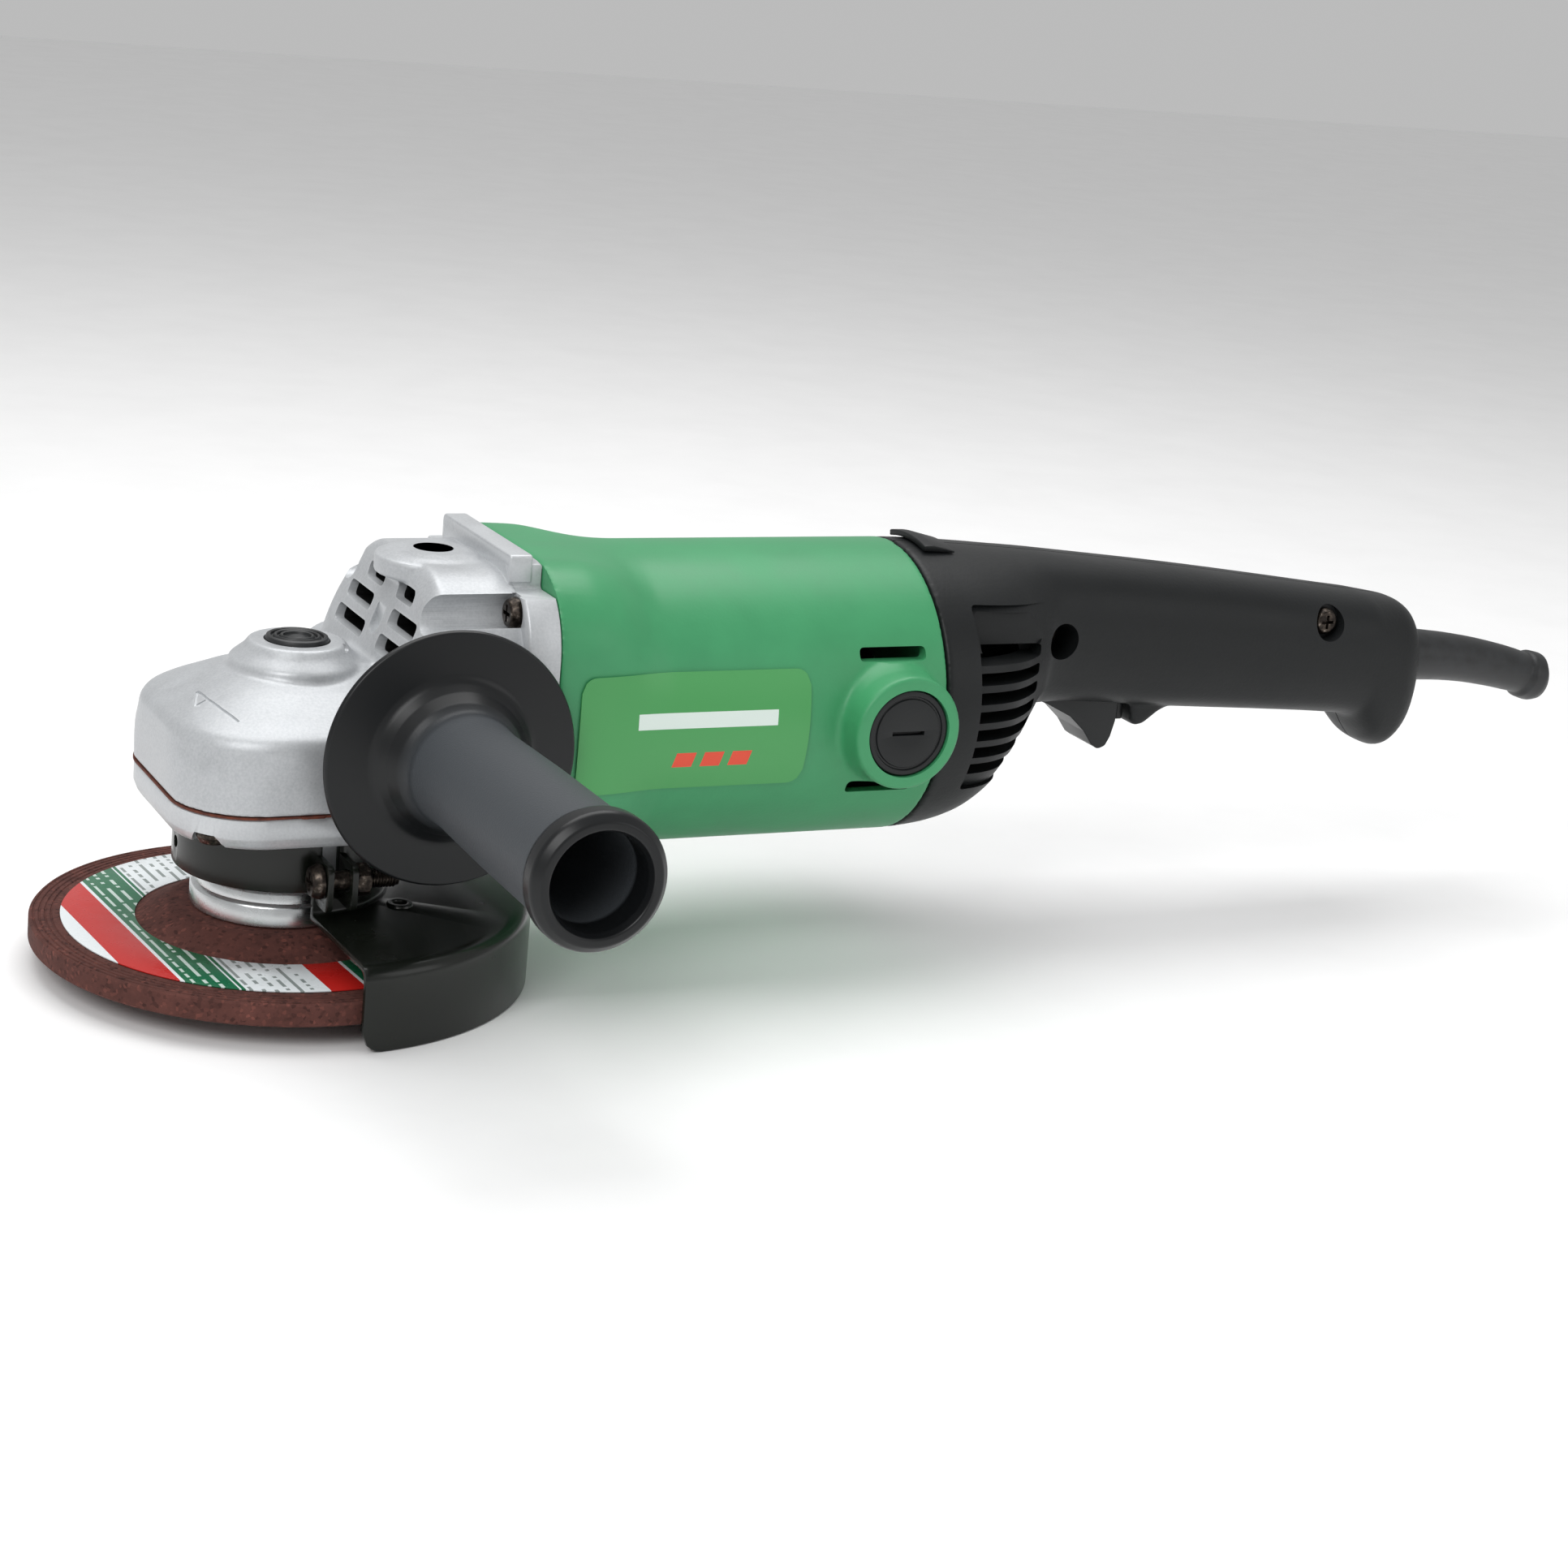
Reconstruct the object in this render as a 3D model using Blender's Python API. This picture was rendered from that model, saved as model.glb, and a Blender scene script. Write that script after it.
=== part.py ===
"""Angle grinder, 125 mm wheel, long rear handle.

Frame: metres, +Z up along the spindle, +X to the rear along the motor, -Y to the side handle.
The origin is the centre of the spindle's lower end face.
"""
import math

import bmesh
import bpy
from mathutils import Matrix, Vector

MM = 0.001

# ---- clearances -------------------------------------------------------------
SEAT = 0.3 * MM           # between pieces that bear on each other
RUN = 0.4 * MM            # between a turning or sliding piece and its bore
THIN_SEAT = 0.15 * MM     # under labels and plates that are glued on
WELD = 0.002 * MM         # vertices closer than this are one
FLAT_ANGLE = math.radians(0.4)

# ---- wheel and spindle nose -------------------------------------------------
WHEEL_R = 62.5 * MM
WHEEL_T = 6.0 * MM
WHEEL_BORE_R = 11.1 * MM
WHEEL_TOP_Z = 5.0 * MM    # height of the wheel's flat upper face over the spindle's end
HUB_RISE = 4.6 * MM       # how far the centre is offset upwards
HUB_R = 27.0 * MM
LABEL_IN_R = 35.8 * MM
LABEL_OUT_R = 54.6 * MM
LABEL_T = 0.3 * MM
SPINDLE_R = 7.0 * MM
FLANGE_R = 22.3 * MM
FLANGE_T = 9.4 * MM
NUT_R = 20.0 * MM
NUT_T = 4.0 * MM

# ---- bearing cover and gear head --------------------------------------------
COVER_NECK_R = 25.4 * MM
COVER_NECK_Z = 20.5 * MM
COVER_Z = 35.3 * MM       # underside of the cover's plate
COVER_T = 8.4 * MM
GASKET_T = 0.5 * MM
NOSE_FRONT = 34.0 * MM
NOSE_HALF = 35.5 * MM
COVER_BACK = 33.5 * MM
CORNER_R = 20.0 * MM
PLATE_CORNER_R = 22.0 * MM
COVER_SCREW_XY = 25.5 * MM
COVER_SCREW_R = 2.0 * MM
SCREW_HEAD_R = 4.2 * MM
SCREW_HEAD_T = 2.8 * MM
CHAMBER_R = 32.0 * MM
CHAMBER_WALL_TOP_Z = 59.5 * MM
CHAMBER_TOP_Z = 67.0 * MM
MOTOR_Z = 63.8 * MM       # height of the motor's axis
DOME_R = 38.5 * MM
PLATE_X = 48.5 * MM
PLATE_T = 8.8 * MM
PLATE_HALF = 41.3 * MM
CASE_SCREW_OFFSET = 29.8 * MM
CASE_SCREW_R = 2.3 * MM
CASE_SCREW_LENGTH = 26.0 * MM
SIDE_BOSS_X = 27.7 * MM
SIDE_BOSS_Z = 61.0 * MM
SIDE_BOSS_R = 12.5 * MM
SIDE_BOSS_Y = 44.3 * MM
SOCKET_R = 5.2 * MM
SOCKET_DEPTH = 16.0 * MM
TOP_BOSS_X = 37.0 * MM
TOP_BOSS_R = 8.5 * MM
TOP_BOSS_Z = 103.6 * MM
TOP_SOCKET_DEPTH = 6.0 * MM
FAN_CHAMBER_X = 45.5 * MM

# ---- spindle lock -----------------------------------------------------------
BUTTON_X = 1.9 * MM
BUTTON_R = 8.1 * MM
BUTTON_TOP_Z = 81.3 * MM
BUTTON_T = 5.6 * MM
BUTTON_BOSS_R = 12.2 * MM
BUTTON_BOSS_Z = 80.0 * MM
BUTTON_WELL_Z = 71.0 * MM
PIN_X = -4.0 * MM
PIN_R = 1.8 * MM
LOCK_HOLES = 4

# ---- gears ------------------------------------------------------------------
GEAR_TEETH = 37
PINION_TEETH = 11
GEAR_PITCH_R = 30.0 * MM
FACE_WIDTH = 9.0 * MM
GEAR_BACK_Z = 45.0 * MM
GEAR_TOP_Z = 58.6 * MM
GEAR_NUT_R = 9.0 * MM
GEAR_NUT_T = 6.4 * MM

# ---- motor ------------------------------------------------------------------
HOUSING_R = 40.7 * MM
HOUSING_END_X = 171.1 * MM
HOUSING_BORE_R = 37.4 * MM
BULKHEAD_X = 166.0 * MM
BULGE_END_X = 86.0 * MM
BRUSH_X = 154.9 * MM
BRUSH_BOSS_R = 15.5 * MM
BRUSH_FACE_Y = 49.8 * MM
CAP_R = 11.7 * MM
CAP_T = 9.0 * MM
VENT_SLOT_Z = 18.3 * MM
VENT_SLOT_L = 20.0 * MM
VENT_SLOT_H = 3.6 * MM
CORE_X0, CORE_X1 = 84.0 * MM, 130.0 * MM
CORE_R = 20.8 * MM
STATOR_R = 36.9 * MM
STATOR_BORE_R = 21.5 * MM
POLE_HALF_ANGLE = 38.0
COIL_HALF_ANGLE = 60.0
COMMUTATOR_R = 13.0 * MM
FAN_R = 35.4 * MM
FAN_X = 46.5 * MM
FAN_DEPTH = 9.8 * MM
FAN_BLADES = 7
FRONT_BEARING_X = 34.0 * MM
FRONT_BEARING_R = 13.0 * MM
REAR_BEARING_R = 11.0 * MM
BEARING_W = 8.5 * MM
PLATE_LABEL_X0, PLATE_LABEL_X1 = 68.5 * MM, 130.0 * MM
PLATE_LABEL_HALF = 15.4 * MM
PLATE_LABEL_T = 0.5 * MM

HOUSING_X = PLATE_X + PLATE_T + SEAT
HOUSING_BLEND = ((HOUSING_X, 0.0), (HOUSING_X + 10 * MM, 0.08), (HOUSING_X + 18 * MM, 0.35),
                 (BULGE_END_X, 0.9),
                 (BULGE_END_X + 5 * MM, 1.0), (HOUSING_END_X, 1.0))

# ---- guard ------------------------------------------------------------------
BAND_R = 27.25 * MM
BAND_T = 1.5 * MM
BAND_Z = 21.2 * MM
BAND_H = 13.0 * MM
GUARD_GAP = 3.7 * MM        # outside of the guard beyond the wheel
GUARD_R = WHEEL_R + GUARD_GAP
GUARD_T = 1.5 * MM
GUARD_PLATE_Z = 15.0 * MM
GUARD_SKIRT_Z = -7.2 * MM
GUARD_HALF_ANGLE = 88.4
SPLIT_X0, SPLIT_X1 = 2.5 * MM, 7.4 * MM
CLAMP_Y = -32.3 * MM
CLAMP_Z = 26.0 * MM
CLAMP_R = 2.4 * MM

# ---- side handle ------------------------------------------------------------
GUARD_DISC_R = 33.1 * MM
GRIP_END_Y = -141.9 * MM
GRIP_R = 15.0 * MM
GRIP_BEAD_R = 16.7 * MM
GRIP_HOLE_R = 11.95 * MM
STUD_R = 4.9 * MM

# ---- rear handle ------------------------------------------------------------
TAIL_X = HOUSING_END_X + SEAT
TAIL_WALL = 2.8 * MM
TAIL_END_WALL_X = 344.5 * MM
LOUVRES = 7
LOUVRE_PITCH = 5.2 * MM
LOUVRE_H = 2.6 * MM
LOUVRE_X0, LOUVRE_X1 = 180.5 * MM, 205.0 * MM
HANDLE_SCREWS = (("front", 218.5 * MM, 79.6 * MM, 8.0 * MM), ("rear", 312.6 * MM, 82.0 * MM, 12.0 * MM))
SCREW_BOSS_R = 7.0 * MM
SCREW_RECESS_R = 5.2 * MM
TRIGGER_HALF = 7.6 * MM
TRIGGER_PIVOT = (221.5 * MM, 61.0 * MM)
TRIGGER_SLOT_X = (217.6 * MM, 253.0 * MM)
TAB_HALF_ANGLE = 14.0
TAB_X0, TAB_X1 = 176.0 * MM, 186.0 * MM
TAB_RISE = 1.9 * MM
CORD_BORE_R = 4.4 * MM
CORD_GUARD_HOLE_R = 8.7 * MM

# ---- angular resolution -----------------------------------------------------
ROUND = 24
FINE = 32
SMALL = 10
CORD_STEPS = 16
NAMEPLATE_STEPS = 8


# ---- helpers ----------------------------------------------------------------
def material(name, colour, roughness, metallic=0.0):
    """A Principled material, made once and shared by name."""
    found = bpy.data.materials.get(name)
    if found:
        return found
    made = bpy.data.materials.new(name)
    made.use_nodes = True
    shader = made.node_tree.nodes["Principled BSDF"]
    shader.inputs["Base Color"].default_value = (*colour, 1.0)
    shader.inputs["Roughness"].default_value = roughness
    shader.inputs["Metallic"].default_value = metallic
    made.diffuse_color = (*colour, 1.0)
    return made


CAST = ("cast_silver", (0.56, 0.59, 0.62), 0.42, 0.35)
GREEN = ("green_nylon", (0.07, 0.36, 0.16), 0.42, 0.0)
LABEL_GREEN = ("label_green", (0.07, 0.33, 0.11), 0.35, 0.0)
BLACK = ("black_nylon", (0.016, 0.017, 0.018), 0.5, 0.0)
GUARD_BLACK = ("black_enamel", (0.012, 0.014, 0.012), 0.22, 0.0)
STEEL = ("steel", (0.5, 0.5, 0.5), 0.3, 1.0)
DARK_STEEL = ("black_oxide", (0.07, 0.065, 0.06), 0.4, 0.9)
ZINC = ("zinc_plate", (0.72, 0.74, 0.75), 0.3, 1.0)
ABRASIVE = ("abrasive", (0.085, 0.028, 0.022), 0.95, 0.0)
PAPER = ("label_paper", (0.75, 0.8, 0.82), 0.5, 0.0)
COPPER = ("copper", (0.72, 0.3, 0.14), 0.35, 1.0)
BRASS = ("brass", (0.7, 0.5, 0.2), 0.35, 1.0)
CARBON = ("carbon", (0.03, 0.03, 0.03), 0.8, 0.0)
PAPER_BROWN = ("gasket_paper", (0.22, 0.08, 0.04), 0.8, 0.0)
RUBBER = ("rubber", (0.02, 0.021, 0.022), 0.6, 0.0)


def from_bmesh(name, bm, look):
    """Put a bmesh into a named object with its faces pointing out."""
    bmesh.ops.recalc_face_normals(bm, faces=bm.faces)
    mesh = bpy.data.meshes.new(name)
    bm.to_mesh(mesh)
    bm.free()
    mesh.shade_smooth()
    mesh.set_sharp_from_angle(angle=math.radians(35))
    obj = bpy.data.objects.new(name, mesh)
    bpy.context.collection.objects.link(obj)
    obj.data.materials.append(material(*look))
    return obj


def bridge(bm, lower, upper):
    """Quads, or triangles at a pole, between two rings of vertices."""
    count = max(len(lower), len(upper))
    for i in range(count):
        j = (i + 1) % count
        if len(lower) == 1:
            bm.faces.new((lower[0], upper[i], upper[j]))
        elif len(upper) == 1:
            bm.faces.new((lower[i], lower[j], upper[0]))
        else:
            bm.faces.new((lower[i], lower[j], upper[j], upper[i]))


def along(axis, origin):
    """Matrix that takes local Z onto an axis through a point."""
    turn = Vector((0, 0, 1)).rotation_difference(Vector(axis)).to_matrix().to_4x4()
    return Matrix.Translation(Vector(origin)) @ turn


def turned(name, look, profile, axis=(0, 0, 1), origin=(0, 0, 0), steps=ROUND):
    """Turn (radius, height) points about an axis; a profile off the axis closes into a ring."""
    bm = bmesh.new()
    rings = []
    for radius, height in profile:
        if radius == 0:
            rings.append([bm.verts.new((0, 0, height))])
            continue
        ring = []
        for i in range(steps):
            angle = 2 * math.pi * i / steps
            ring.append(bm.verts.new((radius * math.cos(angle), radius * math.sin(angle), height)))
        rings.append(ring)
    for lower, upper in zip(rings, rings[1:]):
        bridge(bm, lower, upper)
    if profile[0][0] > 0 and profile[-1][0] > 0:
        bridge(bm, rings[-1], rings[0])
    bm.transform(along(axis, origin))
    return from_bmesh(name, bm, look)


def ring_profile(inner, outer, low, high):
    """Closed rectangle for a plain ring."""
    return [(inner, low), (outer, low), (outer, high), (inner, high)]


def rod_profile(stations):
    """Close a list of (radius, height) steps onto the axis at both ends."""
    return [(0, stations[0][1])] + list(stations) + [(0, stations[-1][1])]


def swept(name, look, profile, start, stop, steps, axis=(0, 0, 1), origin=(0, 0, 0), zero=0.0):
    """Sweep a closed (radius, height) outline over part of a turn, angles in degrees."""
    bm = bmesh.new()
    rings = []
    for i in range(steps + 1):
        angle = math.radians(zero + start + (stop - start) * i / steps)
        rings.append([bm.verts.new((r * math.cos(angle), r * math.sin(angle), h)) for r, h in profile])
    for lower, upper in zip(rings, rings[1:]):
        bridge(bm, lower, upper)
    bm.faces.new(rings[0])
    bm.faces.new(rings[-1])
    bm.transform(along(axis, origin))
    return from_bmesh(name, bm, look)


def lofted(name, look, rings):
    """Skin a list of rings of 3-D points and cap both ends."""
    bm = bmesh.new()
    made = [[bm.verts.new(point) for point in ring] for ring in rings]
    for lower, upper in zip(made, made[1:]):
        bridge(bm, lower, upper)
    bm.faces.new(made[0])
    bm.faces.new(made[-1])
    return from_bmesh(name, bm, look)


def block(name, look, low, high):
    """A box between two corners."""
    bm = bmesh.new()
    bmesh.ops.create_cube(bm, size=1.0)
    size = [b - a for a, b in zip(low, high)]
    middle = [(a + b) / 2 for a, b in zip(low, high)]
    bmesh.ops.scale(bm, vec=size, verts=bm.verts)
    bmesh.ops.translate(bm, vec=middle, verts=bm.verts)
    return from_bmesh(name, bm, look)


def rod(name, look, radius, start, stop, steps=SMALL):
    """A plain cylinder between two points."""
    start, stop = Vector(start), Vector(stop)
    length = (stop - start).length
    profile = rod_profile([(radius, 0), (radius, length)])
    return turned(name, look, profile, (stop - start).normalized(), start, steps)


def weld(mesh):
    """Join vertices that a cut left on top of each other and drop splits in flat faces."""
    bm = bmesh.new()
    bm.from_mesh(mesh)
    bmesh.ops.remove_doubles(bm, verts=bm.verts, dist=WELD)
    bmesh.ops.dissolve_degenerate(bm, edges=bm.edges, dist=WELD)
    bmesh.ops.dissolve_limit(bm, angle_limit=FLAT_ANGLE, verts=bm.verts, edges=bm.edges)
    bmesh.ops.triangulate(bm, faces=bm.faces)
    bmesh.ops.recalc_face_normals(bm, faces=bm.faces)
    bm.to_mesh(mesh)
    bm.free()


def combine(base, other, operation):
    """Boolean one object with another, apply it and remove the other."""
    modifier = base.modifiers.new("shape", "BOOLEAN")
    modifier.operation = operation
    modifier.solver = "EXACT"
    modifier.object = other
    graph = bpy.context.evaluated_depsgraph_get()
    result = bpy.data.meshes.new_from_object(base.evaluated_get(graph))
    weld(result)
    old = base.data
    base.modifiers.clear()
    base.data = result
    result.name = base.name
    bpy.data.meshes.remove(old)
    spent = other.data
    bpy.data.objects.remove(other)
    bpy.data.meshes.remove(spent)
    return base


def add(base, *others):
    for other in others:
        combine(base, other, "UNION")
    return base


def cut(base, *others):
    for other in others:
        combine(base, other, "DIFFERENCE")
    return base


def drill(base, radius, start, stop, steps=SMALL):
    """Drill a round hole between two points."""
    return cut(base, rod("drill", STEEL, radius, start, stop, steps))


def slot(base, low, high):
    """Cut a rectangular opening between two corners."""
    return cut(base, block("slot", STEEL, low, high))


def plan_outline(front, back, half, front_r, back_r, z, arc=5):
    """Rounded rectangle seen from above, front towards -X."""
    corners = ((back - back_r, half - back_r, back_r, 0), (-front + front_r, half - front_r, front_r, 90),
               (-front + front_r, -half + front_r, front_r, 180),
               (back - back_r, -half + back_r, back_r, 270))
    points = []
    for cx, cy, radius, first in corners:
        for i in range(arc + 1):
            angle = math.radians(first + 90 * i / arc)
            points.append((cx + radius * math.cos(angle), cy + radius * math.sin(angle), z))
    return points


def square_radius(angle, half, radius):
    """Distance from the centre to a rounded square's edge, in a direction."""
    c, s = abs(math.cos(angle)), abs(math.sin(angle))
    inner = half - radius
    if c * half >= s * half and half * s / c <= inner:
        return half / c
    if s > c and half * c / s <= inner:
        return half / s
    along_diagonal = inner * (c + s)
    return along_diagonal + math.sqrt(max(along_diagonal ** 2 - 2 * inner ** 2 + radius ** 2, 0))


def housing_ring(x, half, radius, blend, steps=FINE):
    """Ring about the motor's axis, from a rounded square (blend 0) to a circle (blend 1)."""
    ring = []
    for i in range(steps):
        angle = 2 * math.pi * (i + 0.5) / steps
        reach = (1 - blend) * square_radius(angle, half, radius) + blend * HOUSING_R
        ring.append((x, reach * math.cos(angle), MOTOR_Z + reach * math.sin(angle)))
    return ring


def oval_ring(x, top, bottom, half, power, inset=0.0, steps=20):
    """Superellipse ring at one station of the rear handle."""
    middle, height, width = (top + bottom) / 2, (top - bottom) / 2 - inset, half - inset
    ring = []
    for i in range(steps):
        angle = 2 * math.pi * (i + 0.5) / steps
        c, s = math.cos(angle), math.sin(angle)
        y = width * math.copysign(abs(c) ** (2 / power), c)
        z = middle + height * math.copysign(abs(s) ** (2 / power), s)
        ring.append((x, y, z))
    return ring


def pan_screw(name, look, head, direction, length, radius, head_r=SCREW_HEAD_R, head_t=SCREW_HEAD_T):
    """Pan-head screw with its head's underside at a point and its shank along a direction."""
    profile = rod_profile([(head_r * 0.8, -head_t), (head_r, -head_t * 0.5), (head_r, 0), (radius, 0),
                           (radius, length)])
    return turned(name, look, profile, direction, head, 10)


# ---- wheel group ------------------------------------------------------------
def build_wheel():
    top, thick = WHEEL_TOP_Z, WHEEL_T
    hub = top + HUB_RISE
    foot = LABEL_IN_R - 0.6 * MM
    profile = [(WHEEL_BORE_R, hub - thick), (HUB_R - thick * 0.45, hub - thick),
               (foot - thick * 0.45, top - thick), (WHEEL_R, top - thick), (WHEEL_R, top),
               (foot, top), (HUB_R, hub), (WHEEL_BORE_R, hub)]
    turned("grinding_wheel", ABRASIVE, profile, steps=40)
    turned("wheel_label", PAPER,
           ring_profile(LABEL_IN_R, LABEL_OUT_R, top + THIN_SEAT, top + THIN_SEAT + LABEL_T), steps=40)


def build_spindle():
    hub = WHEEL_TOP_Z + HUB_RISE
    flange_low = hub + SEAT
    collar = flange_low + FLANGE_T + SEAT
    bearing_low = COVER_NECK_Z + 6.6 * MM
    bearing_high = bearing_low + 11.0 * MM
    shoulder = GEAR_BACK_Z - SEAT
    stations = [(SPINDLE_R - 1.0 * MM, 0), (SPINDLE_R, 1.0 * MM), (SPINDLE_R, collar),
                (9.5 * MM, collar), (9.5 * MM, bearing_low - SEAT), (8.2 * MM, bearing_low - SEAT),
                (8.2 * MM, bearing_high + SEAT), (11.0 * MM, bearing_high + SEAT), (11.0 * MM, shoulder),
                (8.0 * MM, shoulder), (8.0 * MM, GEAR_TOP_Z - SEAT), (6.0 * MM, GEAR_TOP_Z - SEAT),
                (6.0 * MM, GEAR_TOP_Z + 2.4 * MM)]
    turned("spindle", STEEL, rod_profile(stations), steps=16)
    flange = [(SPINDLE_R + SEAT, hub - WHEEL_T * 0.6), (WHEEL_BORE_R - SEAT, hub - WHEEL_T * 0.6),
              (WHEEL_BORE_R - SEAT, flange_low), (FLANGE_R, flange_low),
              (FLANGE_R, flange_low + FLANGE_T * 0.72), (FLANGE_R - 4.5 * MM, flange_low + FLANGE_T),
              (SPINDLE_R + SEAT, flange_low + FLANGE_T)]
    turned("inner_flange", ZINC, flange, steps=28)
    nut_top = hub - WHEEL_T - SEAT
    nut = turned("lock_nut", DARK_STEEL,
                 [(SPINDLE_R + SEAT, nut_top - NUT_T), (NUT_R - 1.2 * MM, nut_top - NUT_T),
                  (NUT_R, nut_top - NUT_T + 1.2 * MM), (NUT_R, nut_top), (SPINDLE_R + SEAT, nut_top)])
    for i in range(4):
        angle = math.radians(45 + 90 * i)
        x, y = 15.0 * MM * math.cos(angle), 15.0 * MM * math.sin(angle)
        drill(nut, 2.4 * MM, (x, y, nut_top - NUT_T - 1 * MM), (x, y, nut_top - 1.2 * MM), 8)
    turned("spindle_bearing_inner", STEEL,
           ring_profile(8.2 * MM + SEAT, 12.0 * MM, bearing_low, bearing_high), steps=24)
    turned("spindle_bearing_outer", STEEL,
           ring_profile(14.0 * MM, 17.5 * MM, bearing_low, bearing_high), steps=24)
    turned("felt_seal", RUBBER,
           ring_profile(9.5 * MM + RUN, 13.8 * MM, COVER_NECK_Z + 1.2 * MM, COVER_NECK_Z + 5.6 * MM),
           steps=24)


# ---- gears ------------------------------------------------------------------
def tooth_numbers():
    """Bevel pair whose pitch cones meet where the spindle and motor axes cross."""
    pinion_pitch = GEAR_PITCH_R * PINION_TEETH / GEAR_TEETH
    module = 2 * GEAR_PITCH_R / GEAR_TEETH
    cone = math.hypot(GEAR_PITCH_R, pinion_pitch)
    slope = math.atan2(pinion_pitch, GEAR_PITCH_R)
    return module, cone, slope


def cone_point(length, offset, slope):
    """(distance out, distance down) of a point on or off the pitch line."""
    return (length * math.cos(slope) + offset * math.sin(slope),
            length * math.sin(slope) - offset * math.cos(slope))


def toothed_ring(teeth, root, tip, root_half, tip_half, phase):
    """(angle, place) points round one end of a bevel gear, four to a tooth."""
    pitch = 2 * math.pi / teeth
    points = []
    for i in range(teeth):
        middle = (i + phase) * pitch
        points += [(middle - root_half * pitch, root), (middle - tip_half * pitch, tip),
                   (middle + tip_half * pitch, tip), (middle + root_half * pitch, root)]
    return points


def build_gears():
    module, cone, slope = tooth_numbers()
    toe = (cone - FACE_WIDTH) / cone
    addendum, dedendum = 0.65 * module, 1.05 * module
    gear_tip, gear_root = cone_point(cone, addendum, slope), cone_point(cone, -dedendum, slope)
    ends = []
    for scale in (toe, 1.0):
        ends.append([(r * scale * math.cos(a), r * scale * math.sin(a), MOTOR_Z - d * scale)
                     for a, (r, d) in toothed_ring(GEAR_TEETH, gear_root, gear_tip, 0.24, 0.12, 0.5)])
    gear = lofted("driven_gear", STEEL, ends)
    back = MOTOR_Z - gear_root[1] - 0.6 * MM
    web = turned("web", STEEL, rod_profile([(14 * MM, GEAR_BACK_Z), (15 * MM, GEAR_BACK_Z + 2 * MM),
                                            (GEAR_PITCH_R - 3 * MM, back - 1.6 * MM),
                                            (GEAR_PITCH_R - 1.2 * MM, back + 1.2 * MM),
                                            (20 * MM, GEAR_TOP_Z - 2 * MM), (16 * MM, GEAR_TOP_Z)]), steps=24)
    add(gear, web)
    drill(gear, 8.0 * MM + SEAT, (0, 0, GEAR_BACK_Z - 2 * MM), (0, 0, GEAR_TOP_Z + 2 * MM), 24)
    tip, root = cone_point(cone, -addendum, slope), cone_point(cone, dedendum, slope)
    ends = []
    for scale in (toe, 1.0):
        ends.append([(x * scale, d * scale * math.sin(a), MOTOR_Z - d * scale * math.cos(a))
                     for a, (x, d) in toothed_ring(PINION_TEETH, root, tip, 0.24, 0.12, 0.0)])
    pinion = lofted("pinion", STEEL, ends)
    add(pinion, rod("hub", STEEL, 6.4 * MM, (GEAR_PITCH_R - 1.5 * MM, 0, MOTOR_Z),
                    (FRONT_BEARING_X - 3 * SEAT, 0, MOTOR_Z), 20))
    drill(pinion, 3.5 * MM + SEAT, (10 * MM, 0, MOTOR_Z), (40 * MM, 0, MOTOR_Z), 16)
    nut_low = GEAR_TOP_Z + SEAT
    nut = turned("gear_nut", STEEL, rod_profile([(GEAR_NUT_R, nut_low), (GEAR_NUT_R, nut_low + GEAR_NUT_T)]),
                 steps=24)
    drill(nut, 6.0 * MM + SEAT, (0, 0, nut_low - 1 * MM), (0, 0, nut_low + 2.5 * MM), 24)
    for i in range(LOCK_HOLES):
        angle = math.pi + 2 * math.pi * i / LOCK_HOLES
        x, y = abs(PIN_X) * math.cos(angle), abs(PIN_X) * math.sin(angle)
        drill(nut, PIN_R + RUN, (x, y, nut_low + GEAR_NUT_T - 3.8 * MM),
              (x, y, nut_low + GEAR_NUT_T + 1 * MM), 10)
    return nut_low + GEAR_NUT_T


# ---- gear head --------------------------------------------------------------
def cover_screw_places():
    return [(sx * COVER_SCREW_XY, sy * COVER_SCREW_XY) for sx in (-1, 1) for sy in (-1, 1)]


def case_screw_places():
    return [(sy * CASE_SCREW_OFFSET, MOTOR_Z + sz * CASE_SCREW_OFFSET) for sy in (-1, 1) for sz in (-1, 1)]


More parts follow.
